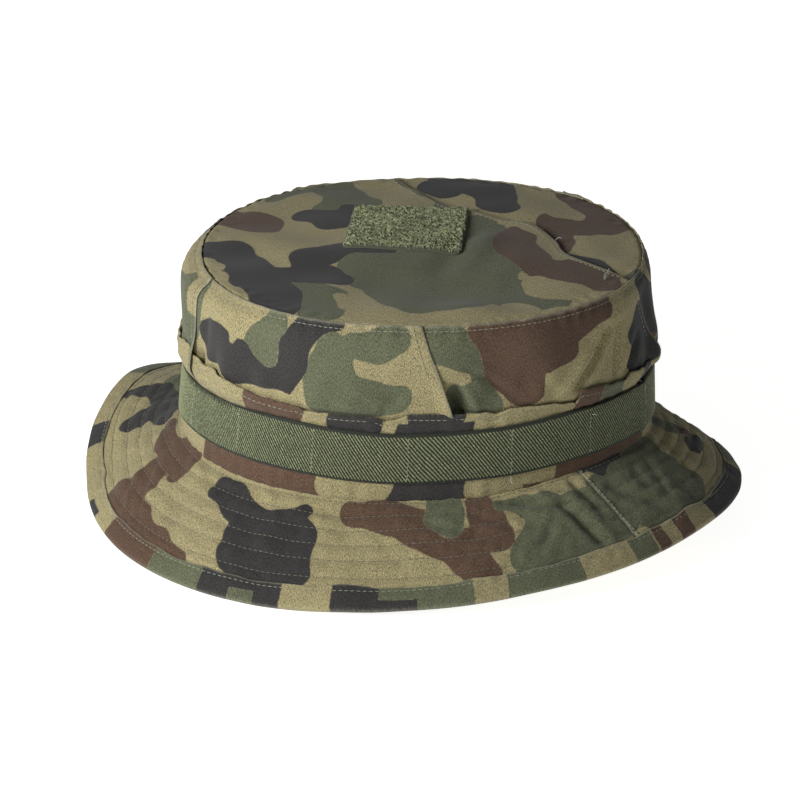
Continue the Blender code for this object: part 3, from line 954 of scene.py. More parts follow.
@dataclass(frozen=True)
class RibbedElastic:
    """Woven elastic with slanting ribs, its colour darkened by painted shade in the gaps between the ribs
    and along its flat selvedges.
    """

    name: str = "ribbed_elastic"
    tint: Colour = (0.240, 0.268, 0.132, 1)
    # painted shade: near-black colour for the gaps between ribs and for the flat selvedges
    painted_rib_shade: Colour = (0.012, 0.016, 0.007, 1)

    def build(self) -> bpy.types.Material:
        """Make the material.

        Returns:
            The material.
        """
        tree = ShaderTree(self.name)
        place, weave = tree.place(), tree.attribute("weave").outputs["Vector"]
        crown = tree.number("crown")
        thread = tree.noise(tree.stretch(weave, (0.9, 2.6, 1)), 1.0, 2.0)
        speck = tree.noise(place, 1900, 1.5)
        split = tree.node("ShaderNodeSeparateXYZ", Vector=weave)
        pick = tree.sine(Value(tree, split.outputs[1]) * (2 * math.pi / 0.62)) * 0.5 + 0.5
        # painted shade: from the near-black shade colour where crown is low, in the rib gaps and at the
        # selvedges, to the elastic's own tint on the rib crests
        share = tree.ramp(crown + (speck - 0.5) * 0.7, 0.5, 1.02)
        colour = tree.mix(share, self.painted_rib_shade, self.tint)
        value = 0.80 + (thread - 0.5) * 1.6 + (speck - 0.5) * 1.4 + pick * 0.35
        tree.bump(pick * 0.5 + speck * 0.6, 0.12 * MM, 0.6)
        return tree.finish(tree.brighten(colour, value), 0.66 + (speck - 0.5) * 0.2, sheen=0.12,
                           specular=0.35)


@dataclass(frozen=True)
class Yarn:
    """Thread or pile with a soft shine and some unevenness."""

    name: str
    tint: Colour
    scale: float = 900.0
    mottle: float = 0.8
    roughness: float = 0.7

    def build(self) -> bpy.types.Material:
        """Make the material.

        Returns:
            The material.
        """
        tree = ShaderTree(self.name)
        place = tree.place()
        fibre = tree.noise(place, self.scale, 2.0)
        cloud = tree.noise(place, 90, 2.0)
        value = 1.0 + (fibre - 0.5) * self.mottle + (cloud - 0.5) * 0.35
        tree.bump(fibre, 0.08 * MM, 0.5)
        return tree.finish(tree.brighten(self.tint, value), self.roughness + (fibre - 0.5) * 0.2, sheen=0.2)


@dataclass(frozen=True)
class Floor:
    """Pale, nearly even light table."""

    name: str = "studio_floor"
    tint: Colour = (0.90, 0.90, 0.89, 1)
    shine: Colour = (1.12, 1.12, 1.11, 1)   # what the camera sees of its glow
    cast: Colour = (0.56, 0.56, 0.55, 1)    # what the table throws back on the hat
    glow: float = 0.80

    def build(self) -> bpy.types.Material:
        """Make the material.

        Returns:
            The material.
        """
        tree = ShaderTree(self.name)
        cloud = tree.noise(tree.place(), 3, 2.0)
        seen = tree.node("ShaderNodeLightPath").outputs["Is Camera Ray"]
        tree.feed(tree.shader.inputs["Emission Color"], tree.mix(seen, self.cast, self.shine))
        tree.shader.inputs["Emission Strength"].default_value = self.glow
        return tree.finish(tree.brighten(self.tint, 0.99 + cloud * 0.02), 0.8, specular=0.1)


@dataclass
class Finishes:
    """The hat's materials, each made once."""

    printed: bpy.types.Material
    lining: bpy.types.Material
    stiffener: bpy.types.Material
    label: bpy.types.Material
    elastic: bpy.types.Material
    thread: bpy.types.Material
    dark_thread: bpy.types.Material
    pile: bpy.types.Material
    loose: bpy.types.Material

    @classmethod
    def make(cls) -> "Finishes":
        """Build every material.

        Returns:
            The finishes.
        """
        return cls(
            printed=PrintedCloth().build(),
            lining=PlainCloth("lining_cloth", (0.10, 0.108, 0.066, 1)).build(),
            stiffener=PlainCloth("stiffener_felt", (0.45, 0.44, 0.40, 1), 0.2, 1.4).build(),
            label=PlainCloth("label_tape", (0.62, 0.61, 0.56, 1), 0.12, 0.4).build(),
            elastic=RibbedElastic().build(),
            thread=Yarn("sewing_thread", (0.27, 0.28, 0.20, 1)).build(),
            # painted shade: a darker copy of the sewing thread, for the stitches of the brim's quilting
            # rows and round the loop patch, which lie in shade
            dark_thread=Yarn("shadow_thread", (0.15, 0.153, 0.105, 1)).build(),
            pile=Yarn("loop_pile", (0.33, 0.36, 0.19, 1), 420.0, 3.0, 0.8).build(),
            loose=Yarn("loose_thread", (0.42, 0.43, 0.34, 1)).build())


# ---------------------------------------------------------------------------------------------
# Geometry Nodes
# ---------------------------------------------------------------------------------------------


class NodeTree:
    """Builds a Geometry Nodes tree and turns its result into a plain mesh."""

    def __init__(self, name: str, inputs: dict[str, tuple[str, object]]) -> None:
        """Start a tree.

        Args:
            name: The tree's name.
            inputs: Named inputs as {name: (socket type, value)}.
        """
        self.tree = bpy.data.node_groups.new(name, "GeometryNodeTree")
        self.values = {key: value for key, (_, value) in inputs.items()}
        self.tree.interface.new_socket("Geometry", in_out="OUTPUT", socket_type="NodeSocketGeometry")
        self.tree.interface.new_socket("Geometry", in_out="INPUT", socket_type="NodeSocketGeometry")
        for key, (kind, _) in inputs.items():
            self.tree.interface.new_socket(key, in_out="INPUT", socket_type=kind)
        self.source = self.tree.nodes.new("NodeGroupInput")
        self.result = self.tree.nodes.new("NodeGroupOutput")

    def given(self, name: str) -> bpy.types.NodeSocket:
        """The socket of a named input."""
        return self.source.outputs[name]

    def node(self, kind: str, settings: dict | None = None, **values: object) -> bpy.types.Node:
        """Add one node.

        Args:
            kind: The node's type.
            settings: Properties set before the sockets.
            **values: Sockets by name, or by number as i0, i1 and so on.

        Returns:
            The node.
        """
        made = self.tree.nodes.new(kind)
        for key, value in (settings or {}).items():
            setattr(made, key, value)
        for key, value in values.items():
            numbered = key[0] == "i" and key[1:].isdigit()
            socket = made.inputs[int(key[1:])] if numbered else made.inputs[key.replace("_", " ")]
            if isinstance(value, bpy.types.NodeSocket):
                self.tree.links.new(value, socket)
            else:
                socket.default_value = value
        return made

    def maths(self, operation: str, first: object, second: object = 0.0) -> bpy.types.NodeSocket:
        """Result of a Math node."""
        return self.node("ShaderNodeMath", {"operation": operation}, i0=first, i1=second).outputs[0]

    def end(self, geometry: bpy.types.NodeSocket) -> None:
        """Close the tree with real geometry, smooth shading and the material."""
        real = self.node("GeometryNodeRealizeInstances", Geometry=geometry).outputs[0]
        smooth = self.node("GeometryNodeSetShadeSmooth", Geometry=real).outputs[0]
        dressed = self.node("GeometryNodeSetMaterial", Geometry=smooth, Material=self.given("Material"))
        self.tree.links.new(dressed.outputs[0], self.result.inputs[0])

    def apply(self, name: str, guide: bpy.types.Mesh) -> bpy.types.Mesh:
        """Run the tree on a guide mesh.

        Args:
            name: The result's name.
            guide: Mesh that the tree starts from.

        Returns:
            A plain mesh.
        """
        carrier = bpy.data.objects.new(name + "_guide", guide)
        bpy.context.scene.collection.objects.link(carrier)
        modifier = carrier.modifiers.new("nodes", "NODES")
        modifier.node_group = self.tree
        for item in self.tree.interface.items_tree:
            if item.in_out == "INPUT" and item.name in self.values:
                modifier[item.identifier] = self.values[item.name]
        graph = bpy.context.evaluated_depsgraph_get()
        mesh = bpy.data.meshes.new_from_object(carrier.evaluated_get(graph))
        mesh.name = name
        carrier.modifiers.remove(modifier)
        bpy.data.objects.remove(carrier)
        return mesh


@dataclass(frozen=True)
class StitchRun:
    """One row of stitches along points, with the cloth's normals there."""

    points: Array
    normals: Array
    closed: bool = False


def guide_mesh(name: str, runs: list[StitchRun]) -> bpy.types.Mesh:
    """Polylines as loose edges with an "up" vector at each vertex.

    Args:
        name: Name of the mesh.
        runs: The polylines.

    Returns:
        The mesh.
    """
    mesh = bpy.data.meshes.new(name)
    edges, start = [], 0
    for run in runs:
        count = len(run.points)
        edges += [(start + i, start + i + 1) for i in range(count - 1)]
        if run.closed:
            edges.append((start + count - 1, start))
        start += count
    mesh.from_pydata(np.concatenate([run.points for run in runs]), edges, [])
    up = np.concatenate([run.normals for run in runs])
    mesh.attributes.new("up", "FLOAT_VECTOR", "POINT").data.foreach_set("vector", up.ravel())
    return mesh


@dataclass(frozen=True)
class Stitching:
    """Lockstitch seen from one side: short threads that dive into the cloth at both ends."""

    pitch: float = 2.4 * MM
    length: float = 2.05 * MM
    thickness: float = 0.38 * MM
    stray: float = 0.10             # radians that a stitch may lie off its row
    seed: int = 5

    def build(self, name: str, runs: list[StitchRun], material: bpy.types.Material) -> bpy.types.Mesh:
        """Make every stitch of some rows.

        Args:
            name: The mesh's name.
            runs: The rows.
            material: The thread.

        Returns:
            A plain mesh.
        """
        tree = NodeTree(name + "_nodes", {
            "Pitch": ("NodeSocketFloat", self.pitch), "Length": ("NodeSocketFloat", self.length),
            "Thickness": ("NodeSocketFloat", self.thickness), "Stray": ("NodeSocketFloat", self.stray),
            "Seed": ("NodeSocketInt", self.seed), "Material": ("NodeSocketMaterial", material)})
        curve = tree.node("GeometryNodeMeshToCurve", Mesh=tree.given("Geometry")).outputs[0]
        spaced = tree.node("GeometryNodeResampleCurve", {"mode": "LENGTH"}, Curve=curve,
                           Length=tree.given("Pitch"))
        tangent = tree.node("GeometryNodeInputTangent").outputs[0]
        up = tree.node("GeometryNodeInputNamedAttribute", {"data_type": "FLOAT_VECTOR"},
                       Name="up").outputs[0]
        along = tree.node("FunctionNodeAlignRotationToVector", {"axis": "X"}, Vector=tangent).outputs[0]
        flat = tree.node("FunctionNodeAlignRotationToVector", {"axis": "Z", "pivot_axis": "X"},
                         Rotation=along, Vector=up).outputs[0]
        low = tree.maths("MULTIPLY", tree.given("Stray"), -1.0)
        draw = tree.node("FunctionNodeRandomValue", {"data_type": "FLOAT"}, i2=low, i3=tree.given("Stray"),
                         Seed=tree.given("Seed")).outputs[1]
        angles = tree.node("ShaderNodeCombineXYZ", Z=draw).outputs[0]
        turn = tree.node("FunctionNodeEulerToRotation", Euler=angles).outputs[0]
        turned = tree.node("FunctionNodeRotateRotation", {"rotation_space": "LOCAL"}, Rotation=flat,
                           Rotate_By=turn).outputs[0]
        ball = tree.node("GeometryNodeMeshUVSphere", Segments=6, Rings=5, Radius=0.5).outputs[0]
        lift = tree.maths("MULTIPLY", tree.given("Thickness"), 0.9)
        size = tree.node("ShaderNodeCombineXYZ", X=tree.given("Length"), Y=tree.given("Thickness"), Z=lift)
        stitch = tree.node("GeometryNodeTransform", Geometry=ball, Scale=size.outputs[0]).outputs[0]
        placed = tree.node("GeometryNodeInstanceOnPoints", Points=spaced.outputs[0], Instance=stitch,
                           Rotation=turned).outputs[0]
        tree.end(placed)
        return tree.apply(name, guide_mesh(name + "_rows", runs))


# ---------------------------------------------------------------------------------------------
# Sub-assemblies
# ---------------------------------------------------------------------------------------------


@dataclass
class SubAssembly:
    """Shared means of the hat's sub-assemblies."""

    shape: HatShape
    finishes: Finishes

    def add(self, name: str, mesh: bpy.types.Mesh, material: bpy.types.Material, slot: str,
            *nodes: str) -> bpy.types.Object:
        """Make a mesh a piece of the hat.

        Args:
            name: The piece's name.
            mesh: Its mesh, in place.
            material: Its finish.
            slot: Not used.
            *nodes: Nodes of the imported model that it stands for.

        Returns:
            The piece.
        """
        if not mesh.materials:
            mesh.materials.append(material)
        piece = bpy.data.objects.new(name, mesh)
        bpy.context.scene.collection.objects.link(piece)
        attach(piece, "root")
        if nodes:
            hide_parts(*nodes)
        log.info("%s: %d faces", name, len(mesh.polygons))
        return piece

    def add_cloth(self, name: str, layer: Layer, slot: str, held: str, rests_on: list[str], *nodes: str,
                  material: bpy.types.Material | None = None) -> bpy.types.Object:
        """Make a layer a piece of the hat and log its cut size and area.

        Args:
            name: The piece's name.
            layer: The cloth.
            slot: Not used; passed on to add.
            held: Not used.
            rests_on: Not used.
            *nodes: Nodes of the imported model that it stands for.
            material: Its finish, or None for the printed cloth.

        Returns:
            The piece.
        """
        piece = self.add(name, layer.mesh(name), material or self.finishes.printed, slot, *nodes)
        width, length = layer.flat_size()
        area = min(layer.area(), width * length)
        log.info("%s: cut %.0f x %.0f mm, %.0f square cm", name, width / MM, length / MM, area * 1e4)
        return piece

    def add_stitches(self, name: str, runs: list[StitchRun], stitching: Stitching, *nodes: str,
                     dark: bool = False) -> bpy.types.Object:
        """Make rows of stitches a piece of the hat."""
        # dark picks the darker copy of the thread, painted shade for stitches that lie in shade
        thread = self.finishes.dark_thread if dark else self.finishes.thread
        return self.add(name, stitching.build(name, runs, thread), thread, "sewing_thread", *nodes)

    def wall_run(self, azimuth: Array, height: Array, offset: float, closed: bool = False) -> StitchRun:
        """A row of stitches on the wall at an offset from its middle."""
        azimuth, height = np.broadcast_arrays(np.asarray(azimuth, float), np.asarray(height, float))
        points = self.shape.wall(azimuth, height, offset)
        return StitchRun(points, unit(points - self.shape.wall(azimuth, height, offset - MM)), closed)

    def brim_run(self, azimuth: Array, inset: Array, offset: float, closed: bool = False) -> StitchRun:
        """A row of stitches on the brim at an offset from its middle."""
        azimuth, inset = np.broadcast_arrays(np.asarray(azimuth, float), np.asarray(inset, float))
        points = self.shape.brim(azimuth, inset, offset)
        side = MM if offset > 0 else -MM
        return StitchRun(points, unit(points - self.shape.brim(azimuth, inset, offset - side)), closed)


K, G, B, N = Ink.KHAKI, Ink.GREEN, Ink.BROWN, Ink.BLACK


@dataclass
class CrownWall(SubAssembly):
    """Five panels whose edges lap over each other, with their seam stitches."""

    lap: float = 8.0                    # degrees
    lap_lift: float = 0.8 * MM
    seam_sink: float = 6.0 * MM         # how far the cloth under a seam's open lower end falls in
    step: float = 1.1                   # mm between grid lines
    seam_stitch: float = 1.9            # mm below the crown seam
    edge_stitch: float = 3.0            # mm in from a panel's edge
    # name of the node: azimuths where the panel starts at the top and the foot, and where it ends
    panels: tuple[tuple[str, float, float, float, float], ...] = (
        ("side_panel_front_left", 199, 199, 267.5, 281), ("side_panel_front_right", 267.5, 281, 333, 355),
        ("side_panel_rear_right", 333, 355, 407, 413), ("side_panel_rear", 407, 413, 483, 489),
        ("side_panel_rear_left", 483, 489, 559, 559))

    def prints(self) -> dict[str, Print]:
        """The print on each panel, by the panel's name.

        Returns:
            A print for each panel.
        """
        pitch = self.shape.wall_pitch
        front_left = (
            blot(G, (190, 72, 16), (190, 58, 14)), blot(G, (230, 73, 6), (226.5, 63, 7), (228, 58, 4.5)),
            blot(G, (247, 65, 7), (246, 55, 8.5), (248, 45, 9), (257, 45, 6.5), (262.5, 45, 5)),
            blot(G, (252, 69, 4.5), (259, 69, 5), (262, 70, 4)),
            blot(N, (203, 60.5, 4), (207, 60, 6), (211, 57, 8), (218, 54, 8), (226, 49.5, 4.2),
                 (233, 50, 4.2),
                 (236, 57, 4.5), (236.5, 66, 4), (239, 73, 4.5), (247, 76.5, 2)),
            blot(K, (216.5, 68, 5), (216, 64.5, 2)), blot(K, (202, 47, 4), (199, 49, 4)),
            blot(K, (223, 42, 2.5), (235, 43, 2.5)))
        front_right = (
            blot(G, (270, 74, 8), (273, 66, 8), (276, 61, 6), (279, 54, 4), (280, 47, 5), (277, 41, 7),
                 (283, 40, 4)),
            blot(K, (271, 56.5, 3.5), (276, 53.5, 3)),
            blot(B, (282, 74, 6), (289, 66, 9.5), (289.5, 57, 10), (291.5, 46, 6.5)),
            blot(B, (296, 66, 11), (306, 73, 7), (317, 76.5, 5)), blot(B, (298, 61, 6), (303, 62, 5)),
            blot(N, (333, 60, 8), (337, 56, 9)), blot(N, (331, 46, 5), (338, 50, 9), (344, 58, 9)),
            blot(G, (356, 66, 9), (360, 46, 12)))
        return {
            "side_panel_front_left": Print(front_left, pitch, 1, 0.8, 1.0),
            "side_panel_front_right": Print(front_right, pitch, 2, 0.8, 1.0),
            "side_panel_rear_right": Print(scattered(61, 9, (325, 413), (0, 77), pitch)
                                           + (blot(N, (340, 72, 8), (350, 60, 9), (362, 46, 8)),
                                              blot(B, (352, 76, 5), (360, 70, 6))), pitch, 3),
            "side_panel_rear": Print(scattered(62, 9, (400, 490), (0, 77), pitch), pitch, 4),
            "side_panel_rear_left": Print(scattered(63, 9, (480, 552), (0, 77), pitch)
                                          + (blot(G, (545, 62, 8), (550, 50, 9), (551, 36, 9)),
                                             blot(K, (556, 74, 5), (557, 66, 4))), pitch, 5)}

    def layer(self, start_top: float, start_foot: float, end_top: float, end_foot: float,
              ink: Print) -> Layer:
        """One panel of the wall as a cloth layer.

        Args:
            start_top: Azimuth of its start at the top.
            start_foot: Azimuth of its start at the foot.
            end_top: Azimuth of its end at the top.
            end_foot: Azimuth of its end at the foot.
            ink: The print on it.

        Returns:
            The panel with its lap.
        """
        heights = np.linspace(0.3, 1.0, 66)[:, None]
        heights = np.vstack([np.linspace(0, 0.28, 8)[:, None], heights])
        columns = round((end_foot - start_foot + self.lap) * self.shape.wall_pitch / self.step)
        share = np.linspace(0, 1, columns)[None, :]
        start = start_foot + (start_top - start_foot) * heights - self.lap
        end = end_foot + (end_top - end_foot) * heights
        azimuth = start + (end - start) * share
        height = heights * (self.shape.wall_height(azimuth) - 0.4) + 0.4
        inside = end - azimuth
        lift = self.lap_lift * blend(-inside, -self.lap - 5, -self.lap - 0.5)
        gape = 2.9 * MM * blend(-inside, -3, 0) * np.exp(-(((height - 44) / 8) ** 2))
        past = (azimuth - start - self.lap - 1.4) / 1.6
        sunk = self.seam_sink * np.exp(-(past**2)) * np.exp(-(((height - 42) / 6.5) ** 2))
        points = self.shape.wall(azimuth, height, lift + gape - sunk)
        wear = np.exp(-inside * self.shape.wall_pitch
                      / 1.0) + np.exp(-(self.shape.wall_height(azimuth) - height))
        u = azimuth * self.shape.wall_pitch
        return Layer(points, u, height, CLOTH, False, ink.fields(azimuth, height), wear)

    def build(self) -> None:
        """Make the panels and their stitches."""
        prints = self.prints()
        runs = []
        for node, start_top, start_foot, end_top, end_foot in self.panels:
            layer = self.layer(start_top, start_foot, end_top, end_foot, prints[node])
            self.add_cloth(node + "_cloth", layer, "camouflage_cloth", "stretched", ["crown_top_cloth"],
                           node)
            share = np.linspace(0.42, 0.985, 60)
            azimuth = end_foot + (end_top - end_foot) * share - self.edge_stitch / self.shape.wall_pitch
            height = share * self.shape.wall_height(azimuth)
            runs.append(self.wall_run(azimuth, height, self.lap_lift + 0.42 * MM))
        self.add_stitches("side_panel_stitches", runs, Stitching(seed=41))
        azimuth = np.linspace(0, 360, 720, endpoint=False)
        height = self.shape.wall_height(azimuth) - self.seam_stitch
        lifts = np.full(azimuth.shape, 0.40 * MM)
        for _, _, _, end_top, _ in self.panels:
            inside = np.mod(end_top - azimuth + 180, 360) - 180
            on_lap = (inside > 0) & (inside < self.lap + 3)
            lifts = np.where(on_lap, 0.40 * MM + self.lap_lift, lifts)
        points = self.shape.wall(azimuth, height, lifts)
        normals = unit(points - self.shape.wall(azimuth, height, lifts - MM))
        self.add_stitches("crown_seam_stitches", [StitchRun(points, normals, True)],
                          Stitching(pitch=2.3 * MM, seed=42))


@dataclass
class CrownTop(SubAssembly):
    """Two top panels that meet at a folded pocket edge, and the lining under them."""

    fold_start: float = -27.0
    fold_end: float = 94.0
    fold_middle: tuple[tuple[float, float], ...] = (
        (67, -12), (62, -3), (59.5, 9), (50, 26), (38, 31), (25.5, 39), (18, 45), (11, 52), (5, 60))
    tuck: float = 8.0                   # mm that the small panel runs under the fold
    fold_lift: float = 0.5 * MM
    fold_drop: float = 1.25 * MM
    fold_stitch: float = 2.2            # mm in from the fold
    lining_drop: float = 3.5 * MM

    def fold(self, share: Array) -> Array:
        """Plan points in metres along the fold, from the right-hand end to the rear one."""
        ends = [self.shape.top_rim(np.array(a))[:2] / MM for a in (self.fold_start, self.fold_end)]
        points = (tuple(ends[0]), *self.fold_middle, tuple(ends[1]))
        return SmoothPath(points).at(share) * MM

    def inward(self, share: Array) -> Array:
        """Level unit vectors from the fold into the large panel."""
        along = unit(np.concatenate([self.fold(np.minimum(share + 0.01, 1))
                                     - self.fold(np.maximum(share - 0.01, 0)),
                                     np.zeros((*np.shape(share), 1))], -1))
        return np.stack([-along[..., 1], along[..., 0]], -1)

    def large_print(self) -> Print:
        """The print on the large panel.

        Returns:
            The print.
        """
        return Print((
            blot(G, (-35, 80, 13), (-28, 64, 12), (-27, 52, 12), (-36, 45, 7)),
            blot(G, (-62, 60, 4), (-48, 71, 5)),
            blot(G, (28, 24, 9), (28, 5, 11), (25, -15, 20), (10, -35, 31), (5, -52, 18)),
            blot(G, (-15, -24, 18), (5, -30, 20)), blot(G, (34, -45, 15), (45, -56, 7), (58, -54, 5)),
            blot(G, (-45, -42, 10), (-38, -52, 11), (-38, -64, 9)),
            blot(G, (-4, 84, 5), (2, 70, 5), (6, 62, 3)),
            blot(G, (14, 50, 4), (22, 44, 4)),
            blot(B, (-80, 36, 8), (-67, 31, 9), (-64, 25, 7)),
            blot(B, (44, 14, 8), (46, 0, 11), (48, -12, 9), (55, -22, 9), (65, -27, 9), (76, -34, 8)),
            blot(K, (-30, -50, 3.5), (-24, -60, 5), (-15, -68, 6), (-2, -74, 4), (18, -71, 3)),
            blot(K, (40, 28, 4), (49, 25, 4), (55, 10, 3), (59, -5, 3), (61, -14, 3)),
            blot(K, (50, -36, 7), (56, -43, 8), (63, -48, 6)), blot(K, (40, -61, 5), (47, -65, 5)),
            blot(K, (-18, 78, 8), (-10, 66, 8), (-2, 52, 8)),
            blot(N, (-45, 36, 7), (-36, 31, 8), (-29, 33, 9), (-28, 45, 4)),
            blot(N, (-89, 4, 6), (-78, -1, 8), (-72, -15, 8), (-66, -28, 9), (-58, -44, 9), (-55, -60, 9)),
            blot(K, (-86, -16, 4.5), (-81, -19, 3.5)),
            blot(N, (-66, -28, 8), (-50, -27, 7), (-40, -27, 8), (-31, -32, 5)),
            blot(N, (-46, -22, 6), (-44, -12, 6), (-36, -9, 6), (-30, -4, 5), (-20, -4, 4), (-10, -7, 2))),
            1.0, 11, 0.7, 0.8)

    def small_print(self) -> Print:
        """The print on the small panel.

        Returns:
            The print.
        """
        return Print((
            blot(B, (62, 30, 10), (75, 28, 12), (86, 35, 10), (76, 52, 7), (66, 62, 4)),
            blot(B, (60, 15, 8), (62, 2, 5)), blot(G, (86, -34, 7), (94, -20, 5)),
            blot(K, (52, 72, 8), (56, 52, 9), (66, 41, 6), (71, 37, 4)),
            blot(K, (82, 6, 11), (85, -5, 12), (83, -18, 8), (81, -27, 5)),
            blot(N, (20, 84, 14), (30, 75, 13), (35, 62, 9), (35, 50, 7), (41, 46, 5)),
            blot(N, (7, 76, 5), (15, 66, 6)), blot(N, (64, -9, 4.2), (73, -17, 6), (80, -28, 6))),
            1.0, 12, 0.7, 0.6)

    def rolled(self, points: Array, depth: Array) -> Array:
        """Turn the outermost stretch of a panel down over the seam, by depth in mm from the rim."""
        points = points.copy()
        points[..., 2] -= 1.5 * MM * (1 - np.clip(depth / 2.2, 0, 1)) ** 2
        return points

    def large_layer(self) -> Layer:
        """The large top panel as a cloth layer.

        Returns:
            The panel.
        """
        sweep = self.fold_start + 360 - self.fold_end
        columns, rows = 330, 96
        share = np.linspace(0, 1, columns)
        rim = self.shape.top_rim(self.fold_end + sweep * share)[:, :2]
        fold = self.fold(1 - share)
        reach = np.linalg.norm(fold - rim, axis=-1)[None, :] / MM
        rows_at = np.linspace(0, 1, rows)[:, None] ** 1.15
        plan = rim[None] + (fold - rim)[None] * rows_at[..., None]
        to_rim, to_fold = rows_at * reach, (1 - rows_at) * reach
        lift = self.fold_lift * np.exp(-to_fold / 5) * blend(reach, 0, 25)
        points = self.rolled(self.shape.top(plan, lift), to_rim)
        wear = np.exp(-to_fold / 0.9) * 1.3 + np.exp(-to_rim / 0.9) * 0.6
        u, v = plan[..., 0] / MM, plan[..., 1] / MM
        return Layer(points, u, v, CLOTH, False, self.large_print().fields(u, v), wear)

    def small_layer(self) -> Layer:
        """The small top panel as a cloth layer.

        Returns:
            The panel.
        """
        sweep = self.fold_end - self.fold_start
        columns, rows = 170, 44
        share = np.linspace(0, 1, columns)
        rim = self.shape.top_rim(self.fold_start + sweep * share)[:, :2]
        hump = np.sin(math.pi * share) ** 0.5
        fold = self.fold(share) + self.inward(share) * (self.tuck * MM * hump)[:, None]
        reach = np.linalg.norm(fold - rim, axis=-1)[None, :] / MM
        rows_at = np.linspace(0, 1, rows)[:, None]
        plan = rim[None] + (fold - rim)[None] * rows_at[..., None]
        to_rim = rows_at * reach
        beyond = (1 - rows_at) * reach - self.tuck * hump[None]
        drop = self.fold_drop * (1 - blend(beyond, 1, 16)) * np.maximum(hump, 0.85)[None]
        points = self.rolled(self.shape.top(plan, -drop), to_rim)
        u, v = plan[..., 0] / MM, plan[..., 1] / MM
        return Layer(points, u, v, CLOTH, False, self.small_print().fields(u, v),
                     np.exp(-to_rim / 0.9) * 0.6)

    def lining_layer(self) -> Layer:
        """The pocket's lining under both panels as a cloth layer.

        Returns:
            The lining.
        """
        azimuth = np.linspace(0, 360, 180, endpoint=False)
        middle = np.array((self.shape.top_x, self.shape.top_y))
        scale = np.linspace(0.9, 0.0005, 40)[:, None, None]
        plan = middle + (self.shape.top_rim(azimuth)[:, :2] - middle)[None] * scale
        points = self.shape.top(plan, -self.lining_drop)
        return Layer(points, plan[..., 0] / MM, plan[..., 1] / MM, CLOTH, True)

    def build(self) -> None:
        """Make the panels, the lining and the fold's stitches."""
        self.add_cloth("crown_top_cloth", self.large_layer(), "camouflage_cloth", "laid",
                       ["crown_top_lining_cloth"], "crown_top_large")
        self.add_cloth("crown_pocket_cloth", self.small_layer(), "camouflage_cloth", "laid",
                       ["crown_top_lining_cloth"], "crown_top_small")
        self.add_cloth("crown_top_lining_cloth", self.lining_layer(), "lining_cloth", "laid",
                       ["crown_top_lining"], "crown_top_lining", material=self.finishes.lining)
        share = np.linspace(0.03, 0.97, 200)
        plan = self.fold(share) + self.inward(share) * self.fold_stitch * MM
        points = self.shape.top(plan, self.fold_lift * math.exp(-self.fold_stitch / 5) + 0.42 * MM)
        up = np.tile((0.0, 0.0, 1.0), (len(points), 1))
        self.add_stitches("crown_fold_stitches", [StitchRun(points, up)], Stitching(seed=43))


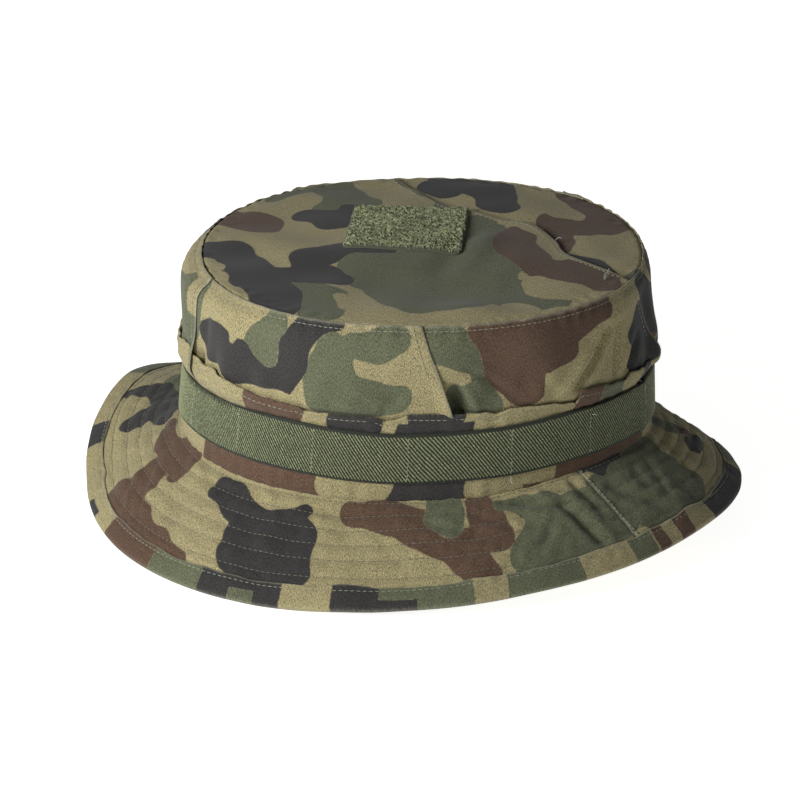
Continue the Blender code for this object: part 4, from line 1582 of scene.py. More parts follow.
@dataclass
class Bands(SubAssembly):
    """Hatband and foliage elastic round the foot of the crown."""

    hatband_hem: float = 0.35           # mm that its foot lies above the brim's root
    hatband_top: Keys = (
        (0, 39), (90, 36), (180, 46), (190, 49.5), (197, 50.5), (197.8, 46.8), (202, 46), (216, 45.2),
        (222, 42.5), (230, 41), (239, 39.6), (240.5, 38.4), (247, 37.6), (257.5, 37.2),
        (260.5, 34.4), (263, 35.6), (266, 38), (272, 37.6), (282, 38.2), (284.5, 36.8), (288, 39),
        (296, 39.2), (305.6, 38.2), (306.3, 37.4), (307, 42.8),
        (321, 41), (325, 40), (327, 42.5), (340, 41.5))
    hatband_offset: float = 2.2 * MM
    elastic_foot: Keys = ((0, 10.5), (90, 7), (180, 11.5), (198, 13.8), (217, 12.9), (230, 11.5),
                          (242, 9.9), (252, 8.3), (264, 7.2), (278, 7.9), (288, 8.8), (298, 10.4),
                          (308, 11.9), (330, 12.8))
    elastic_width: float = 22.0
    elastic_offset: float = 3.3 * MM
    elastic_join: float = 337.0         # azimuth where its ends lap
    rib_pitch: float = 1.25             # mm
    rib_slant: float = 0.62             # mm back for each mm up
    rib_height: float = 0.5 * MM
    tacks: int = 16
    tack_start: float = 266.0
    tack_height: float = 18.0

    def hatband_print(self) -> Print:
        """The print on the hatband, one row of patches above the elastic and one below it.

        Returns:
            The print.
        """
        above, below = 20.0, 19.0
        return Print(scattered(71, 22, (-20, 182), (0, 40), self.shape.wall_pitch) + (
            Stripe(K, 182, 222, above), Stripe(B, 222, 240, above), Stripe(K, 240, 247.5, above),
            Stripe(N, 247.5, 259, above), Stripe(K, 259, 266, above), Stripe(K, 274, 307, above),
            Stripe(N, 265, 277, above), Stripe(N, 262.5, 280, above, 34.5), Stripe(B, 306.4, 315, above),
            Stripe(G, 315, 325, above), Stripe(K, 325, 333, above), Stripe(N, 333, 350, above),
            Stripe(K, 182, 206, -9, below), Stripe(B, 206, 245, -9, below), Stripe(K, 245, 262, -9, below),
            Stripe(N, 262, 278, -9, below), Stripe(K, 278, 300, -9, below), Stripe(B, 291, 302, -9, 4),
            Stripe(B, 300, 336, -9, below)), self.shape.wall_pitch, 21, 0.9)

    def hatband(self) -> None:
        """Make the hatband and the stitches along its upper edge."""
        azimuth = np.linspace(90, 450, 560, endpoint=False)
        share = np.concatenate([np.linspace(0, 0.8, 20), np.linspace(0.83, 1, 11)])[:, None]
        top = stepped(self.hatband_top, azimuth) + 0.14 * ripple(azimuth * self.shape.wall_pitch, 0, 51,
                                                                 5, 20)
        foot = around(self.shape.root_lift, azimuth) + self.hatband_hem
        azimuth, height = np.broadcast_arrays(azimuth[None], foot + (top - foot) * share)
        below = (1 - share) * (top - foot)
        waves = ripple(azimuth * self.shape.wall_pitch, height, 52, 6, 16, 0.5)
        puff = 0.16 * MM * waves * blend(below, 0, 4)
        puff = puff - 0.4 * MM * np.exp(-below / 2.5)
        groove = -0.22 * MM * np.exp(-(((below - 2) / 0.8) ** 2))
        points = self.shape.wall(azimuth, height, self.hatband_offset + puff + groove)
        fields = self.hatband_print().fields(np.where(azimuth > 340, azimuth - 360, azimuth), height)
        layer = Layer(points, azimuth * self.shape.wall_pitch, height, 0.8 * MM, True, fields,
                      0.45 * np.exp(-below / 0.8))
        self.add_cloth("hatband_cloth", layer, "camouflage_cloth", "stretched",
                       ["side_panel_front_left_cloth"], "hatband")
        azimuth = np.linspace(0, 360, 720, endpoint=False)
        height = stepped(self.hatband_top, azimuth) - 2.0
        self.add_stitches("hatband_stitches",
                          [self.wall_run(azimuth, height, self.hatband_offset + 0.02 * MM, True)],
                          Stitching(seed=44))

    def elastic_guide(self) -> Layer:
        """The elastic as a smooth layer whose columns lean with its ribs.

        Returns:
            The layer.
        """
        columns = round(360 * self.shape.wall_pitch / self.rib_pitch) * 4
        start = self.elastic_join + np.linspace(0, 360, columns, endpoint=False)
        rise = np.concatenate([[0, 0.5], np.linspace(1.2, self.elastic_width - 1.2, 9),
                               [self.elastic_width - 0.5],
                               [self.elastic_width]])[:, None]
        azimuth = start[None] - (rise - self.elastic_width / 2) * self.rib_slant / self.shape.wall_pitch
        height = around(self.elastic_foot, azimuth) + rise
        past = np.mod(self.elastic_join - azimuth, 360)
        lap = 0.7 * MM * (1 - blend(past, 3.5, 6))
        points = self.shape.wall(azimuth, height, self.elastic_offset + lap)
        run = np.broadcast_to(start[None] * self.shape.wall_pitch, azimuth.shape)
        return Layer(points, run, np.broadcast_to(rise, azimuth.shape), 0.9 * MM, True,
                     {"edge": np.broadcast_to(np.minimum(rise, self.elastic_width - rise), azimuth.shape)})

    def elastic(self) -> None:
        """Make the elastic, its ribs raised by nodes."""
        material = self.finishes.elastic
        layer = self.elastic_guide()
        columns = layer.points.shape[1]
        tree = NodeTree("elastic_ribs", {
            "Pitch": ("NodeSocketFloat", 360 * self.shape.wall_pitch / (columns / 4)),
            "Height": ("NodeSocketFloat", self.rib_height), "Selvedge": ("NodeSocketFloat", 1.2),
            "Material": ("NodeSocketMaterial", material)})
        weave = tree.node("GeometryNodeInputNamedAttribute", {"data_type": "FLOAT_VECTOR"},
                          Name="weave").outputs[0]
        along = tree.node("ShaderNodeSeparateXYZ", Vector=weave).outputs[0]
        turn = tree.maths("MULTIPLY", tree.maths("DIVIDE", along, tree.given("Pitch")), math.pi)
        wave = tree.maths("ABSOLUTE", tree.maths("SINE", turn))
        edge = tree.node("GeometryNodeInputNamedAttribute", {"data_type": "FLOAT"}, Name="edge").outputs[0]
        inner = tree.node("ShaderNodeClamp", Value=tree.maths("DIVIDE", edge,
                                                              tree.given("Selvedge"))).outputs[0]
        outside = tree.node("GeometryNodeInputNamedAttribute", {"data_type": "FLOAT"},
                            Name="outside").outputs[0]
        # crown is 0 in the rib gaps and at the selvedges and 1 on the rib crests; it raises the ribs and
        # also sets where the elastic's material paints shade
        crown = tree.maths("MULTIPLY", wave, inner)
        kept = tree.node("GeometryNodeStoreNamedAttribute", {"data_type": "FLOAT", "domain": "POINT"},
                         Geometry=tree.given("Geometry"), Name="crown", Value=crown).outputs[0]
        reach = tree.maths("MULTIPLY", tree.maths("MULTIPLY", crown, outside), tree.given("Height"))
        normal = tree.node("GeometryNodeInputNormal").outputs[0]
        move = tree.node("ShaderNodeVectorMath", {"operation": "SCALE"}, i0=normal, i3=reach).outputs[0]
        raised = tree.node("GeometryNodeSetPosition", Geometry=kept, Offset=move).outputs[0]
        tree.end(raised)
        mesh = tree.apply("foliage_elastic_band", layer.mesh("elastic_base"))
        piece = self.add("foliage_elastic_band", mesh, material, "ribbed_elastic", "foliage_elastic")
        layer.flat_size()
        min(layer.area(), math.prod(layer.flat_size()))
        log.info("foliage_elastic_band: cut %s", layer.flat_size())

    def tack_rows(self) -> None:
        """Make the upright rows of stitching that hold the elastic."""
        runs = []
        for number in range(self.tacks):
            azimuth = self.tack_start + number * 360 / self.tacks
            low = float(around(self.elastic_foot, azimuth)) + (self.elastic_width - self.tack_height) / 2
            height = np.linspace(low, low + self.tack_height, 12)
            wobble = azimuth + 0.12 * np.sin(height * 1.3 + number)
            runs.append(self.wall_run(wobble, height, self.elastic_offset + 0.72 * MM))
        names = [f"elastic_tack_{number + 1:02d}" for number in range(self.tacks)]
        self.add_stitches("elastic_tack_stitches", runs,
                          Stitching(1.7 * MM, 1.5 * MM, 0.5 * MM, 0.3, 45), *names)

    def build(self) -> None:
        """Make the hatband, the elastic and its tacks."""
        self.hatband()
        self.elastic()
        self.tack_rows()


@dataclass
class LoopPatch(SubAssembly):
    """Square of loop pile sewn on the crown top."""

    side: float = 50 * MM
    x: float = -3 * MM
    y: float = 17.8 * MM
    turn: float = -5.0
    base: float = 1.3 * MM
    corner: float = 2.5 * MM
    border: float = 2.0 * MM
    loops: int = 3600
    loop_size: float = 0.85 * MM

    def plan(self, across: Array, along: Array) -> Array:
        """Plan points of places on the patch, measured from its middle."""
        turn = math.radians(self.turn)
        x = across * math.cos(turn) - along * math.sin(turn) + self.x
        y = across * math.sin(turn) + along * math.cos(turn) + self.y
        return np.stack([x, y], -1)

    def base_mesh(self, name: str, inset: float, bottom: float, top: float) -> bpy.types.Mesh:
        """A low cushion-edged square that follows the crown top.

        Args:
            name: The mesh's name.
            inset: How far its sides lie inside the patch's.
            bottom: Height of its underside over the crown top.
            top: Height of its face over the crown top.

        Returns:
            A closed mesh.
        """
        count = 40
        line = np.linspace(-1, 1, count)
        across, along = grid(line, line)
        half = self.side / 2 - inset
        square = np.maximum(np.abs(across), np.abs(along))
        diagonal = np.hypot(np.maximum(np.abs(across) - 0.9, 0), np.maximum(np.abs(along) - 0.9, 0))
        pull = 1 - np.maximum(diagonal - 0.1, 0) * 0.7
        edge = blend(square, 0.955, 1.0)
        plan = self.plan(across * half * pull, along * half * pull)
        middle = self.shape.top(plan, (bottom + top) / 2)
        thickness = (top - bottom) * (1 - 0.35 * edge)
        layer = Layer(middle, across * half / MM, along * half / MM)
        return self.slab(name, middle, thickness, layer)

    def slab(self, name: str, middle: Array, thickness: Array, layer: Layer) -> bpy.types.Mesh:
        """Closed mesh about a grid with its own thickness at each point.

        Args:
            name: Name of the mesh.
            middle: Points of the grid.
            thickness: Metres at each point.
            layer: The layer that gives the rim and the weave.

        Returns:
            The mesh.
        """
        rows, columns = middle.shape[:2]
        count = rows * columns
        half = np.zeros_like(middle)
        half[..., 2] = thickness / 2
        number = np.arange(count).reshape(rows, columns)
        upper = np.stack([number[:-1, :-1], number[:-1, 1:], number[1:, 1:], number[1:, :-1]],
                         -1).reshape(-1, 4)
        loop = layer.rim()[0]
        ahead = np.roll(loop, -1)
        sides = np.stack([ahead, loop, loop + count, ahead + count], -1)
        mesh = bpy.data.meshes.new(name)
        places = np.concatenate([(middle + half).reshape(-1, 3), (middle - half).reshape(-1, 3)])
        mesh.from_pydata(places, [], np.concatenate([upper, upper[:, ::-1] + count, sides]))
        weave = np.stack([layer.u.ravel(), layer.v.ravel(), np.zeros(count)], -1)
        weave = np.concatenate([weave, weave])
        mesh.attributes.new("weave", "FLOAT_VECTOR", "POINT").data.foreach_set("vector", weave.ravel())
        mesh.shade_smooth()
        mesh.set_sharp_from_angle(angle=math.radians(50))
        return mesh

    def pile_mesh(self) -> bpy.types.Mesh:
        """Thousands of small yarn loops that stand on the patch.

        Returns:
            The mesh.
        """
        line = np.linspace(-1, 1, 30)
        across, along = grid(line, line)
        half = self.side / 2 - self.border * 0.45
        points = self.shape.top(self.plan(across * half, along * half), 0.3 * MM + self.base)
        guide = bpy.data.meshes.new("pile_ground")
        number = np.arange(900).reshape(30, 30)
        quads = np.stack([number[:-1, :-1], number[:-1, 1:], number[1:, 1:], number[1:, :-1]],
                         -1).reshape(-1, 4)
        guide.from_pydata(points.reshape(-1, 3), [], quads)
        tree = NodeTree("pile_loops", {
            "Density": ("NodeSocketFloat", self.loops / self.side**2),
            "Loop Size": ("NodeSocketFloat", self.loop_size),
            "Yarn": ("NodeSocketFloat", 0.17 * MM), "Seed": ("NodeSocketInt", 8),
            "Material": ("NodeSocketMaterial", self.finishes.pile)})
        ground = tree.node("GeometryNodeDistributePointsOnFaces", {"distribute_method": "RANDOM"},
                           Mesh=tree.given("Geometry"), Density=tree.given("Density"),
                           Seed=tree.given("Seed"))
        ring = tree.node("GeometryNodeCurvePrimitiveCircle", Resolution=7,
                         Radius=tree.given("Loop Size")).outputs[0]
        yarn = tree.node("GeometryNodeCurvePrimitiveCircle", Resolution=3,
                         Radius=tree.given("Yarn")).outputs[0]
        loop = tree.node("GeometryNodeCurveToMesh", Curve=ring, Profile_Curve=yarn).outputs[0]
        upright = tree.node("GeometryNodeTransform", Geometry=loop,
                            Rotation=(math.radians(74), 0, 0)).outputs[0]
        spin = tree.node("FunctionNodeRandomValue", {"data_type": "FLOAT_VECTOR"}, i0=(-0.5, -0.5, 0.0),
                         i1=(0.5, 0.5, 6.283), Seed=tree.given("Seed")).outputs[0]
        size = tree.node("FunctionNodeRandomValue", {"data_type": "FLOAT"}, i2=0.6, i3=1.15,
                         Seed=3).outputs[1]
        placed = tree.node("GeometryNodeInstanceOnPoints", Points=ground.outputs[0], Instance=upright,
                           Rotation=spin,
                           Scale=size).outputs[0]
        tree.end(placed)
        return tree.apply("patch_pile", guide)

    def build(self) -> None:
        """Make the patch's ground, its pile and the stitches round it."""
        base = self.base_mesh("patch_ground", 0.0, 0.3 * MM, 0.3 * MM + self.base)
        self.add("patch_ground", base, self.finishes.lining, "loop_pile", "patch_loop")
        self.add("patch_pile", self.pile_mesh(), self.finishes.pile, "loop_pile")
        half = self.side / 2 - self.border / 2
        corners = np.array(((-1, -1), (1, -1), (1, 1), (-1, 1), (-1, -1)), float) * half
        steps = np.linspace(0, 1, 30, endpoint=False)[:, None]
        square = np.vstack([a + (b - a) * steps for a, b in zip(corners, corners[1:])])
        points = self.shape.top(self.plan(square[:, 0], square[:, 1]), 0.45 * MM + self.base)
        up = np.tile((0.0, 0.0, 1.0), (len(points), 1))
        self.add_stitches("patch_stitches", [StitchRun(points, up, True)],
                          Stitching(2.2 * MM, 1.8 * MM, 0.4 * MM, 0.1, 46), dark=True)


@dataclass
class Brim(SubAssembly):
    """Two printed plies quilted over a stiffener, and the binding round their edge."""

    seams: tuple[float, float] = (130.0, 310.0)
    seam_gap: float = 0.15              # degrees
    seam_turn: float = 0.35 * MM        # how far a ply's end is turned in at a radial seam
    seam_lean: float = 6.0              # degrees that the right-hand seam leans from root to edge
    ply_offset: float = 1.0 * MM
    round_inset: float = 1.7
    leg: float = 9.6                    # mm of binding on each side
    clear: float = 0.2
    rows: tuple[float, ...] = (0.065, 0.185, 0.315, 0.445, 0.58,
                               0.735)   # shares of the width from the root
    puff: float = 0.55 * MM
    groove: float = 1.5                 # mm

    def quilting(self, azimuth: Array, inset: Array) -> Array:
        """How far the cloth stands up between the stitch rows, in metres.

        Args:
            azimuth: Degrees from +X towards +Y.
            inset: Millimetres in from the brim's edge.

        Returns:
            Metres above the smooth ply at each place.
        """
        width, pitch = self.shape.brim_reach(azimuth), self.shape.brim_pitch
        near = np.min([np.abs(width * (1 - row) - inset) for row in self.rows], axis=0)
        uneven = 1 + 0.3 * ring_ripple(azimuth, inset, pitch, 81, 6, 18)
        puckers = 0.075 * MM * ring_ripple(azimuth, inset * 0.5, pitch, 85, 3.2, 8)
        raised = self.puff * (1 - np.exp(-((near / self.groove) ** 2))) * uneven + puckers
        return raised * blend(inset, self.leg - 0.5, self.leg + 2.5) - 0.16 * MM

    def leaning(self, seam: float, share: Array) -> Array:
        """Azimuth of a seam from the brim's edge, share 0, to its root, share 1."""
        return seam + self.seam_lean * (0.6 - share) * (np.mod(seam, 360) > 180)

    def print_on(self, seed: int) -> Print:
        """The print on one face of the brim.

        Args:
            seed: 0 for the upper face, else what fixes its strewn patches.

        Returns:
            The print.
        """
        pitch = self.shape.brim_pitch
        if seed:
            return Print(scattered(seed, 34, (0, 360), (0, 52), pitch), pitch, seed % 50)
        hidden = scattered(91, 12, (15, 150), (0, 50), pitch)
        return Print(hidden + (
            blot(G, (152, 44, 6), (148, 34, 5)),
            blot(N, (176, 41, 3), (169, 38, 6), (162, 33.5, 5.2), (157.5, 28, 4.2), (158, 20, 2.6),
                 (158, 12, 2)),
            blot(N, (167, 34, 5.5), (169.3, 27, 5), (170, 21.5, 3)),
            blot(B, (180, 44.5, 2), (188, 43, 4), (196, 44, 7), (202, 47, 6), (203, 40, 4.5)),
            blot(B, (196, 36, 7), (197, 28, 6.5), (197, 20, 6), (193.5, 14, 5.5), (203, 14, 5),
                 (212, 12, 4),
                 (219, 9, 2.5)),
            blot(N, (219, 43.5, 5.5), (225, 41, 6), (231, 34, 6), (239, 34, 6), (243.6, 43.8, 2)),
            blot(N, (230.5, 29, 8.5), (242, 30, 8.5), (242, 19, 8), (232, 20, 8.5), (235.5, 13, 6),
                 (243, 13, 6)),
            blot(B, (254, 45, 4.5), (262, 43, 7), (268, 37, 7), (273, 29, 6.5), (277, 20, 5.5),
                 (279, 12, 6)),
            blot(B, (281, 46, 5), (282, 37, 5.5), (284, 28, 5)), blot(B, (277, 28, 5), (284, 27, 5)),
            blot(G, (273.5, 48, 6), (273.5, 41, 6.5), (274.3, 35.5, 4)),
            # painted shade: the first spots of this green patch, from azimuth 286 to 297, cover the shadow
            # in the brim's fold with green ink
            blot(G, (286, 42, 2.5), (291, 39, 4), (297, 33, 6), (294, 24, 9), (290, 16, 8), (302, 18, 10),
                 (310, 22, 11)),
            blot(G, (310, 30, 9), (318, 34, 11), (330, 34, 12), (335, 24, 12), (320, 20, 11)),
            # painted shade: the green patch at azimuths 298 to 305 also covers the fold's shadow, and the
            # khaki spot at 306.6 is kept small so that the shaded fold stays dark
            blot(G, (298, 31, 6), (305, 33, 5)), blot(K, (306.6, 44, 3)),
            blot(N, (309.5, 48, 3), (314, 46, 3), (321, 46, 2.6)), blot(G, (331, 47, 6), (336, 42, 6)),
            blot(K, (345, 47, 6), (345, 34, 6), (344, 24, 4.5), (350, 15, 6), (360, 14, 6)),
            blot(G, (355, 42, 7), (362, 40, 7), (372, 34, 7)), blot(N, (353, 26, 3.5), (361, 27, 4)),
            blot(B, (358, 34, 4), (366, 28, 3))), pitch, 31, 0.6, 1.1)

    def binding_print(self) -> Print:
        """The print on the binding.

        Returns:
            The print.
        """
        rows = ((G, 0, 12), (B, 20, 31), (N, 40, 52), (G, 60, 75), (N, 84, 92), (G, 98, 112), (B, 120, 134),
                (G, 140, 150), (N, 166.5, 172), (N, 188, 193, 3.2), (B, 198.5, 213.5), (G, 213.5, 225.5),
                (N, 225.5, 242.5), (G, 232, 237, 5), (G, 260.5, 277), (N, 252.5, 261), (N, 260, 268, 4),
                (G, 283.5, 298.5), (G, 309.5, 315.5), (B, 316, 319), (B, 322, 326.5), (N, 333.5, 357))
        stripes = (Stripe(ink, start, end, -99.0, *high) for ink, start, end, *high in rows)
        return Print(tuple(stripes), EDGE_PITCH, 32, 0.35)

    def ply(self, start: float, end: float, offset: float, step: float, ink: Print) -> Layer:
        """One ply of the brim as a cloth layer.

        Args:
            start: Azimuth of the seam it starts at.
            end: Azimuth of the seam it ends at.
            offset: Metres above the middle of the stiffener, below it if negative.
            step: Degrees from one column of the grid to the next.
            ink: The print on it.

        Returns:
            The ply, quilted between its rows of stitching and turned down at its seams.
        """
        columns = round((end - start) / step)
        share = np.linspace(0, 1, round(46 / step / 1.6))[:, None]
        start, end = (self.leaning(place, share) for place in (start, end))
        azimuth = start + (end - start) * np.linspace(0, 1, columns)
        width = self.shape.brim_reach(azimuth)
        inset = self.round_inset + (width - self.clear - self.round_inset) * share
        side = math.copysign(1.0, offset)
        puff = self.quilting(azimuth, inset) * side
        edge = np.minimum(azimuth - start, end - azimuth) * self.shape.brim_pitch
        seam = -self.seam_turn * side * np.exp(-edge / 1.2)
        points = self.shape.brim(azimuth, inset, offset + puff + seam)
        fields = ink.fields(np.mod(azimuth, 360.0), inset)
        wear = np.exp(-edge / 0.8)
        return Layer(points, azimuth * self.shape.brim_pitch, inset, CLOTH, False, fields, wear)

    def plies(self) -> None:
        """Make the plies and the stiffener."""
        first, second = self.seams
        halves = (("front", first, second), ("rear", second, first + 360))
        for half, start, end in halves:
            start, end = start + self.seam_gap, end - self.seam_gap
            upper = self.ply(start, end, self.ply_offset, 0.5, self.print_on(0))
            self.add_cloth(f"brim_upper_{half}_cloth", upper, "camouflage_cloth", "laid",
                           ["brim_stiffener"], f"brim_upper_{half}")
            lower = self.ply(start, end, -self.ply_offset, 0.75, self.print_on(67))
            self.add_cloth(f"brim_lower_{half}_cloth", lower, "camouflage_cloth", "laid",
                           ["brim_stiffener"], f"brim_lower_{half}")
        azimuth = np.linspace(0, 360, 540, endpoint=False)
        width = self.shape.brim_reach(azimuth)
        share = np.linspace(0, 1, 34)[:, None]
        inset = self.round_inset + (width - self.clear - self.round_inset) * share
        azimuth = np.broadcast_to(azimuth[None], inset.shape)
        felt = Layer(self.shape.brim(azimuth, inset), azimuth * self.shape.brim_pitch, inset, CLOTH, True)
        self.add_cloth("brim_stiffener", felt, "stiffener", "laid", ["brim_lower_front_cloth"],
                       "brim_interlining", material=self.finishes.stiffener)

    def binding(self) -> None:
        """Make the binding folded over the brim's edge, and its stitches."""
        azimuth = np.linspace(0, 360, 800, endpoint=False)
        leg = self.ply_offset + 0.9 * MM
        flat = np.array((self.leg, 9.0, 8.4, 7.8, 7.0, 5.5, 4.0, 2.8, self.round_inset))
        turn = np.linspace(0, math.pi, 9)[1:-1]
        fold = self.round_inset * (1 - np.sin(turn))
        inset = np.concatenate([flat, fold, flat[::-1]])[:, None]
        side = np.concatenate([-np.ones(len(flat)), -np.cos(turn), np.ones(len(flat))])[:, None]
        groove = np.exp(-(((inset - self.leg + 1.6) / 0.7) ** 2))
        tuck = np.exp(-(self.leg - inset) / 0.5)
        uneven = 0.10 * ripple(azimuth * EDGE_PITCH, inset, 83, 5, 14)
        away = leg + (uneven - 0.30 * groove - 0.25 * tuck) * MM * (inset > self.round_inset)
        azimuth, inset = np.broadcast_arrays(azimuth[None], inset)
        waver = inset + 0.35 * ripple(azimuth * EDGE_PITCH, 0, 84, 12, 40) * blend(inset, 6, 9)
        points = self.shape.brim(azimuth, waver, away * side)
        fields = self.binding_print().fields(azimuth, inset * np.sign(side))
        wear = 0.75 * np.exp(-inset / 1.2) + np.exp(-(self.leg - inset) / 0.7)
        layer = Layer(points, azimuth * EDGE_PITCH, inset * np.sign(side), CLOTH, True, fields, wear)
        self.add_cloth("brim_binding_cloth", layer, "camouflage_cloth", "folded",
                       ["brim_upper_front_cloth", "brim_upper_rear_cloth"], "brim_binding")

    def stitches(self) -> None:
        """Make the quilting rows, the seam stitches and the binding's row on both faces."""
        azimuth = np.linspace(0, 360, 900, endpoint=False)
        width = self.shape.brim_reach(azimuth)
        for side, face in ((1, "upper"), (-1, "lower")):
            lift = self.ply_offset + 0.3 * MM - 0.16 * MM + 0.10 * MM
            runs = [self.brim_run(azimuth, width * (1 - row), lift * side, True) for row in self.rows]
            self.add_stitches(f"brim_{face}_stitches", runs, Stitching(thickness=0.36 * MM, seed=47),
                              dark=True)
            share = np.linspace(0.2, 0.97, 60)
            seams = [self.brim_run(self.leaning(seam, share) + 0.7, share * 47, (lift + 0.45 * MM) * side)
                     for seam in self.seams]
            self.add_stitches(f"brim_{face}_seam_stitches", seams,
                              Stitching(1.9 * MM, 1.8 * MM, 0.5 * MM, 0.16, 50))
            row = self.brim_run(azimuth, np.full(900, self.leg - 1.6),
                                (self.ply_offset + 1.0 * MM) * side, True)
            self.add_stitches(f"binding_{face}_stitches", [row],
                              Stitching(2.5 * MM, 1.9 * MM, 0.4 * MM, 0.1, 48))

    def build(self) -> None:
        """Make the plies, the binding and their stitches."""
        self.plies()
        self.binding()
        self.stitches()


@dataclass
class LooseThreads(SubAssembly):
    """Thread ends that stand up from the fold and from the elastic's join."""

    thickness: float = 0.16 * MM
    points: int = 14

    def end(self, root: Array, *bends: tuple[float, float, float]) -> StitchRun:
        """A thread from a place on the hat through two bends, in mm from it."""
        start, middle, tip = root, root + np.array(bends[0]) * MM, root + np.array(bends[1]) * MM
        share = np.linspace(0, 1, self.points)[:, None]
        points = start * (1 - share) ** 2 + 2 * middle * share * (1 - share) + tip * share**2
        return StitchRun(points, np.tile((0.0, 0.0, 1.0), (self.points, 1)))

    def build(self) -> None:
        """Make every thread end as a thin tube."""
        fold = self.shape.top(np.array((78.5, -33.0)) * MM, 0.6 * MM)
        corner = self.shape.top(np.array((60.0, 9.0)) * MM, 0.6 * MM)
        join = self.shape.wall(np.array(336.0), np.array(33.0), 4.0 * MM)
        tack = self.shape.wall(np.array(311.5), np.array(30.0), 4.2 * MM)
        foot = self.shape.wall(np.array(288.5), np.array(8.6), 4.2 * MM)
        runs = [self.end(fold, (0.4, -0.8, 2.6), (1.6, -0.6, 5.0)),
                self.end(fold, (-0.8, -0.6, 2.0), (0.6, -1.0, 3.6)),
                self.end(fold, (1.0, -0.2, 1.4), (2.2, 0.2, 3.8)),
                self.end(corner, (1.0, -0.6, 2.2), (2.4, -1.4, 1.4)),
                self.end(join, (-1.6, -2.4, 2.8), (-3.4, -1.6, 1.0)),
                self.end(join, (1.2, -2.0, 1.0), (0.4, -2.6, -2.6)),
                self.end(tack, (0.4, -1.4, 1.0), (1.8, -1.0, 0.2)),
                self.end(foot, (-0.3, -1.0, -1.6), (0.5, -1.2, -3.2))]
        tree = NodeTree("thread_ends", {"Thickness": ("NodeSocketFloat", self.thickness),
                                        "Material": ("NodeSocketMaterial", self.finishes.loose)})
        curve = tree.node("GeometryNodeMeshToCurve", Mesh=tree.given("Geometry")).outputs[0]
        ring = tree.node("GeometryNodeCurvePrimitiveCircle", Resolution=6,
                         Radius=tree.given("Thickness")).outputs[0]
        tube = tree.node("GeometryNodeCurveToMesh", Curve=curve, Profile_Curve=ring,
                         Fill_Caps=True).outputs[0]
        tree.end(tube)
        mesh = tree.apply("loose_threads", guide_mesh("loose_thread_rows", runs))
        self.add("loose_threads", mesh, self.finishes.loose, "sewing_thread")


@dataclass
class Inside(SubAssembly):
    """Sweatband, seam tape and size label inside the crown."""

    sweat_offset: float = -1.5 * MM
    tape_offset: float = -1.08 * MM
    label_offset: float = -2.4 * MM

    def band(self, low: Array, high: Array, rows: int, offset: float, thickness: float) -> Layer:
        """A closed band inside the wall between two heights.

        Args:
            low: Lower edge in mm above the head opening.
            high: Upper edge in mm above the head opening.
            rows: Rows of the grid.
            offset: Metres outward from the surface's middle.
            thickness: Metres.

        Returns:
            The band.
        """
        azimuth = np.linspace(0, 360, 360, endpoint=False)
        low, high = (np.broadcast_to(value, azimuth.shape) for value in (low, high))
        height = low + (high - low) * np.linspace(0, 1, rows)[:, None]
        azimuth = np.broadcast_to(azimuth[None], height.shape)
        edge = np.minimum(height - low, high - height)
        roll = -0.25 * MM * blend(edge, 0, 2)
        points = self.shape.wall(azimuth, height, offset + roll)
        return Layer(points, azimuth * self.shape.wall_pitch, height, thickness, True)

    def build(self) -> None:
        """Make the sweatband, the tape, the label and the sweatband's stitches."""
        self.add_cloth("sweatband_cloth", self.band(-1.5, 30, 16, self.sweat_offset, CLOTH), "lining_cloth",
                       "stretched", ["brim_upper_front_cloth"], "sweatband", material=self.finishes.lining)
        azimuth = np.linspace(0, 360, 360, endpoint=False)
        full = self.shape.wall_height(azimuth)
        self.add_cloth("crown_seam_tape_cloth",
                       self.band(full * 0.82, full * 0.955, 8, self.tape_offset, 0.5 * MM),
                       "lining_cloth", "stretched", ["crown_top_cloth"], "crown_seam_tape",
                       material=self.finishes.lining)
        columns, heights = grid(np.linspace(84, 96, 16), np.linspace(7, 27, 14))
        points = self.shape.wall(columns, heights, self.label_offset)
        label = Layer(points, columns * self.shape.wall_pitch, heights, 0.4 * MM, False)
        self.add_cloth("size_label_tape", label, "label_tape", "laid", ["sweatband_cloth"], "size_label",
                       material=self.finishes.label)
        ring = np.linspace(0, 360, 720, endpoint=False)
        run = self.wall_run(ring, np.full(720, 28.0), self.sweat_offset - 0.6 * MM, True)
        self.add_stitches("sweatband_stitches", [run], Stitching(seed=49))


# ---------------------------------------------------------------------------------------------
# Studio
# ---------------------------------------------------------------------------------------------


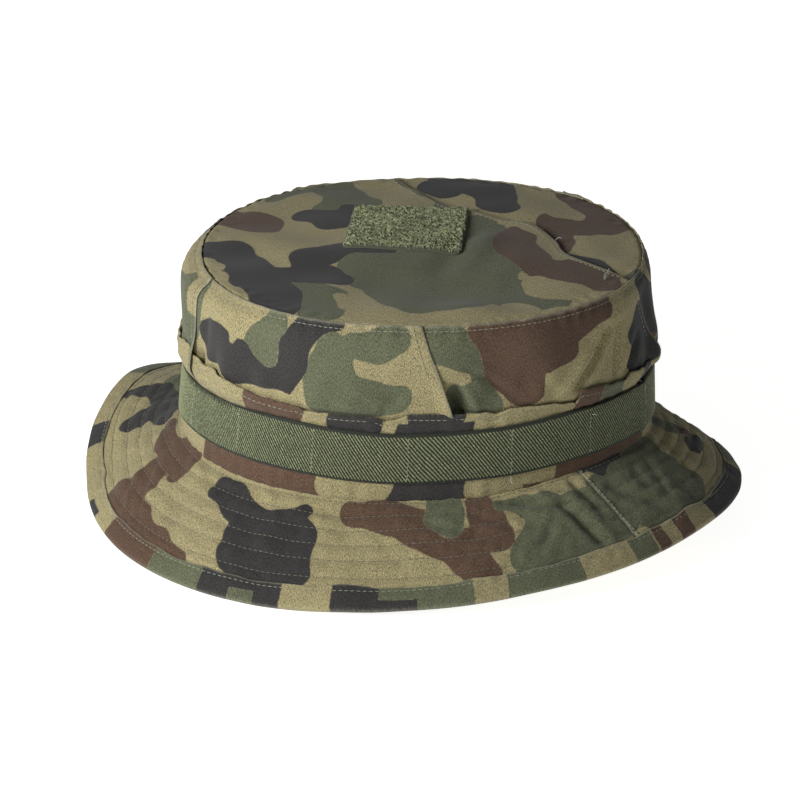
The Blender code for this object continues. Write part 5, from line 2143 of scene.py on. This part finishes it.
@dataclass
class Studio:
    """Pale floor, soft light from the front left, and the camera."""

    elevation: float = 24.0
    distance: float = 1.5
    target: tuple[float, float, float] = (-0.0059, 0.0033, 0.04165)
    lens: float = 157.0
    key_power: float = 5.7
    fill_power: float = 0.55
    ambient: float = 0.12

    def floor(self) -> None:
        """Lay the floor just under the hat."""
        mesh = bpy.data.meshes.new("floor")
        reach = 6.0
        corners = [(-reach, -reach, 0), (reach, -reach, 0), (reach, reach, 0), (-reach, reach, 0)]
        mesh.from_pydata([(x, y, -0.3 * MM) for x, y, _ in corners], [], [(0, 1, 2, 3)])
        mesh.materials.append(Floor().build())
        floor = bpy.data.objects.new("floor", mesh)
        bpy.context.scene.collection.objects.link(floor)

    def light(self, name: str, place: tuple[float, float, float], size: float, power: float) -> None:
        """Hang a square soft light that faces the hat.

        Args:
            name: Name of the light.
            place: Where it hangs, in metres.
            size: Side of the square in metres.
            power: Power in watts.
        """
        data = bpy.data.lights.new(name, "AREA")
        data.energy = power
        data.size = size
        lamp = bpy.data.objects.new(name, data)
        lamp.location = place
        aim = np.array(self.target) - np.array(place)
        lamp.rotation_euler = Vector(aim).to_track_quat("-Z", "Y").to_euler()
        bpy.context.scene.collection.objects.link(lamp)

    def surroundings(self) -> None:
        """White backdrop that lights the hat more gently than it looks."""
        world = bpy.data.worlds.new("studio")
        world.use_nodes = True
        bpy.context.scene.world = world
        nodes, links = world.node_tree.nodes, world.node_tree.links
        backdrop = nodes["Background"]
        backdrop.inputs["Color"].default_value = (1, 1, 1, 1)
        backdrop.inputs["Strength"].default_value = 1.0
        glow = nodes.new("ShaderNodeBackground")
        glow.inputs["Color"].default_value = (0.93, 0.97, 1.0, 1)
        glow.inputs["Strength"].default_value = self.ambient
        path, mix = nodes.new("ShaderNodeLightPath"), nodes.new("ShaderNodeMixShader")
        links.new(path.outputs["Is Camera Ray"], mix.inputs[0])
        links.new(glow.outputs[0], mix.inputs[1])
        links.new(backdrop.outputs[0], mix.inputs[2])
        links.new(mix.outputs[0], nodes["World Output"].inputs[0])

    def camera(self) -> None:
        """Put the camera in front of the hat."""
        data = bpy.data.cameras.new("camera")
        data.lens = self.lens
        data.sensor_width = 36.0
        tilt = math.radians(self.elevation)
        eye = bpy.data.objects.new("camera", data)
        eye.location = (self.target[0], self.target[1] - self.distance * math.cos(tilt),
                        self.target[2] + self.distance * math.sin(tilt))
        eye.rotation_euler = (math.pi / 2 - tilt, 0, 0)
        bpy.context.scene.collection.objects.link(eye)
        bpy.context.scene.camera = eye

    def build(self) -> None:
        """Make the whole studio."""
        self.floor()
        self.light("key", (-0.55, -0.47, 0.43), 0.28, self.key_power)
        self.light("fill", (0.9, -1.3, 0.5), 1.0, self.fill_power)
        self.surroundings()
        self.camera()
        bpy.context.scene.view_settings.view_transform = "Standard"


def main() -> None:
    """Build the hat and its studio, and report each piece."""
    logging.basicConfig(level=logging.INFO, format="%(message)s")
    Studio().build()
    shape, finishes = HatShape(), Finishes.make()
    for kind in (CrownWall, CrownTop, Bands, LoopPatch, Brim, Inside, LooseThreads):
        log.info("-- %s", kind.__name__)
        kind(shape, finishes).build()


if __name__ == "__main__":
    main()
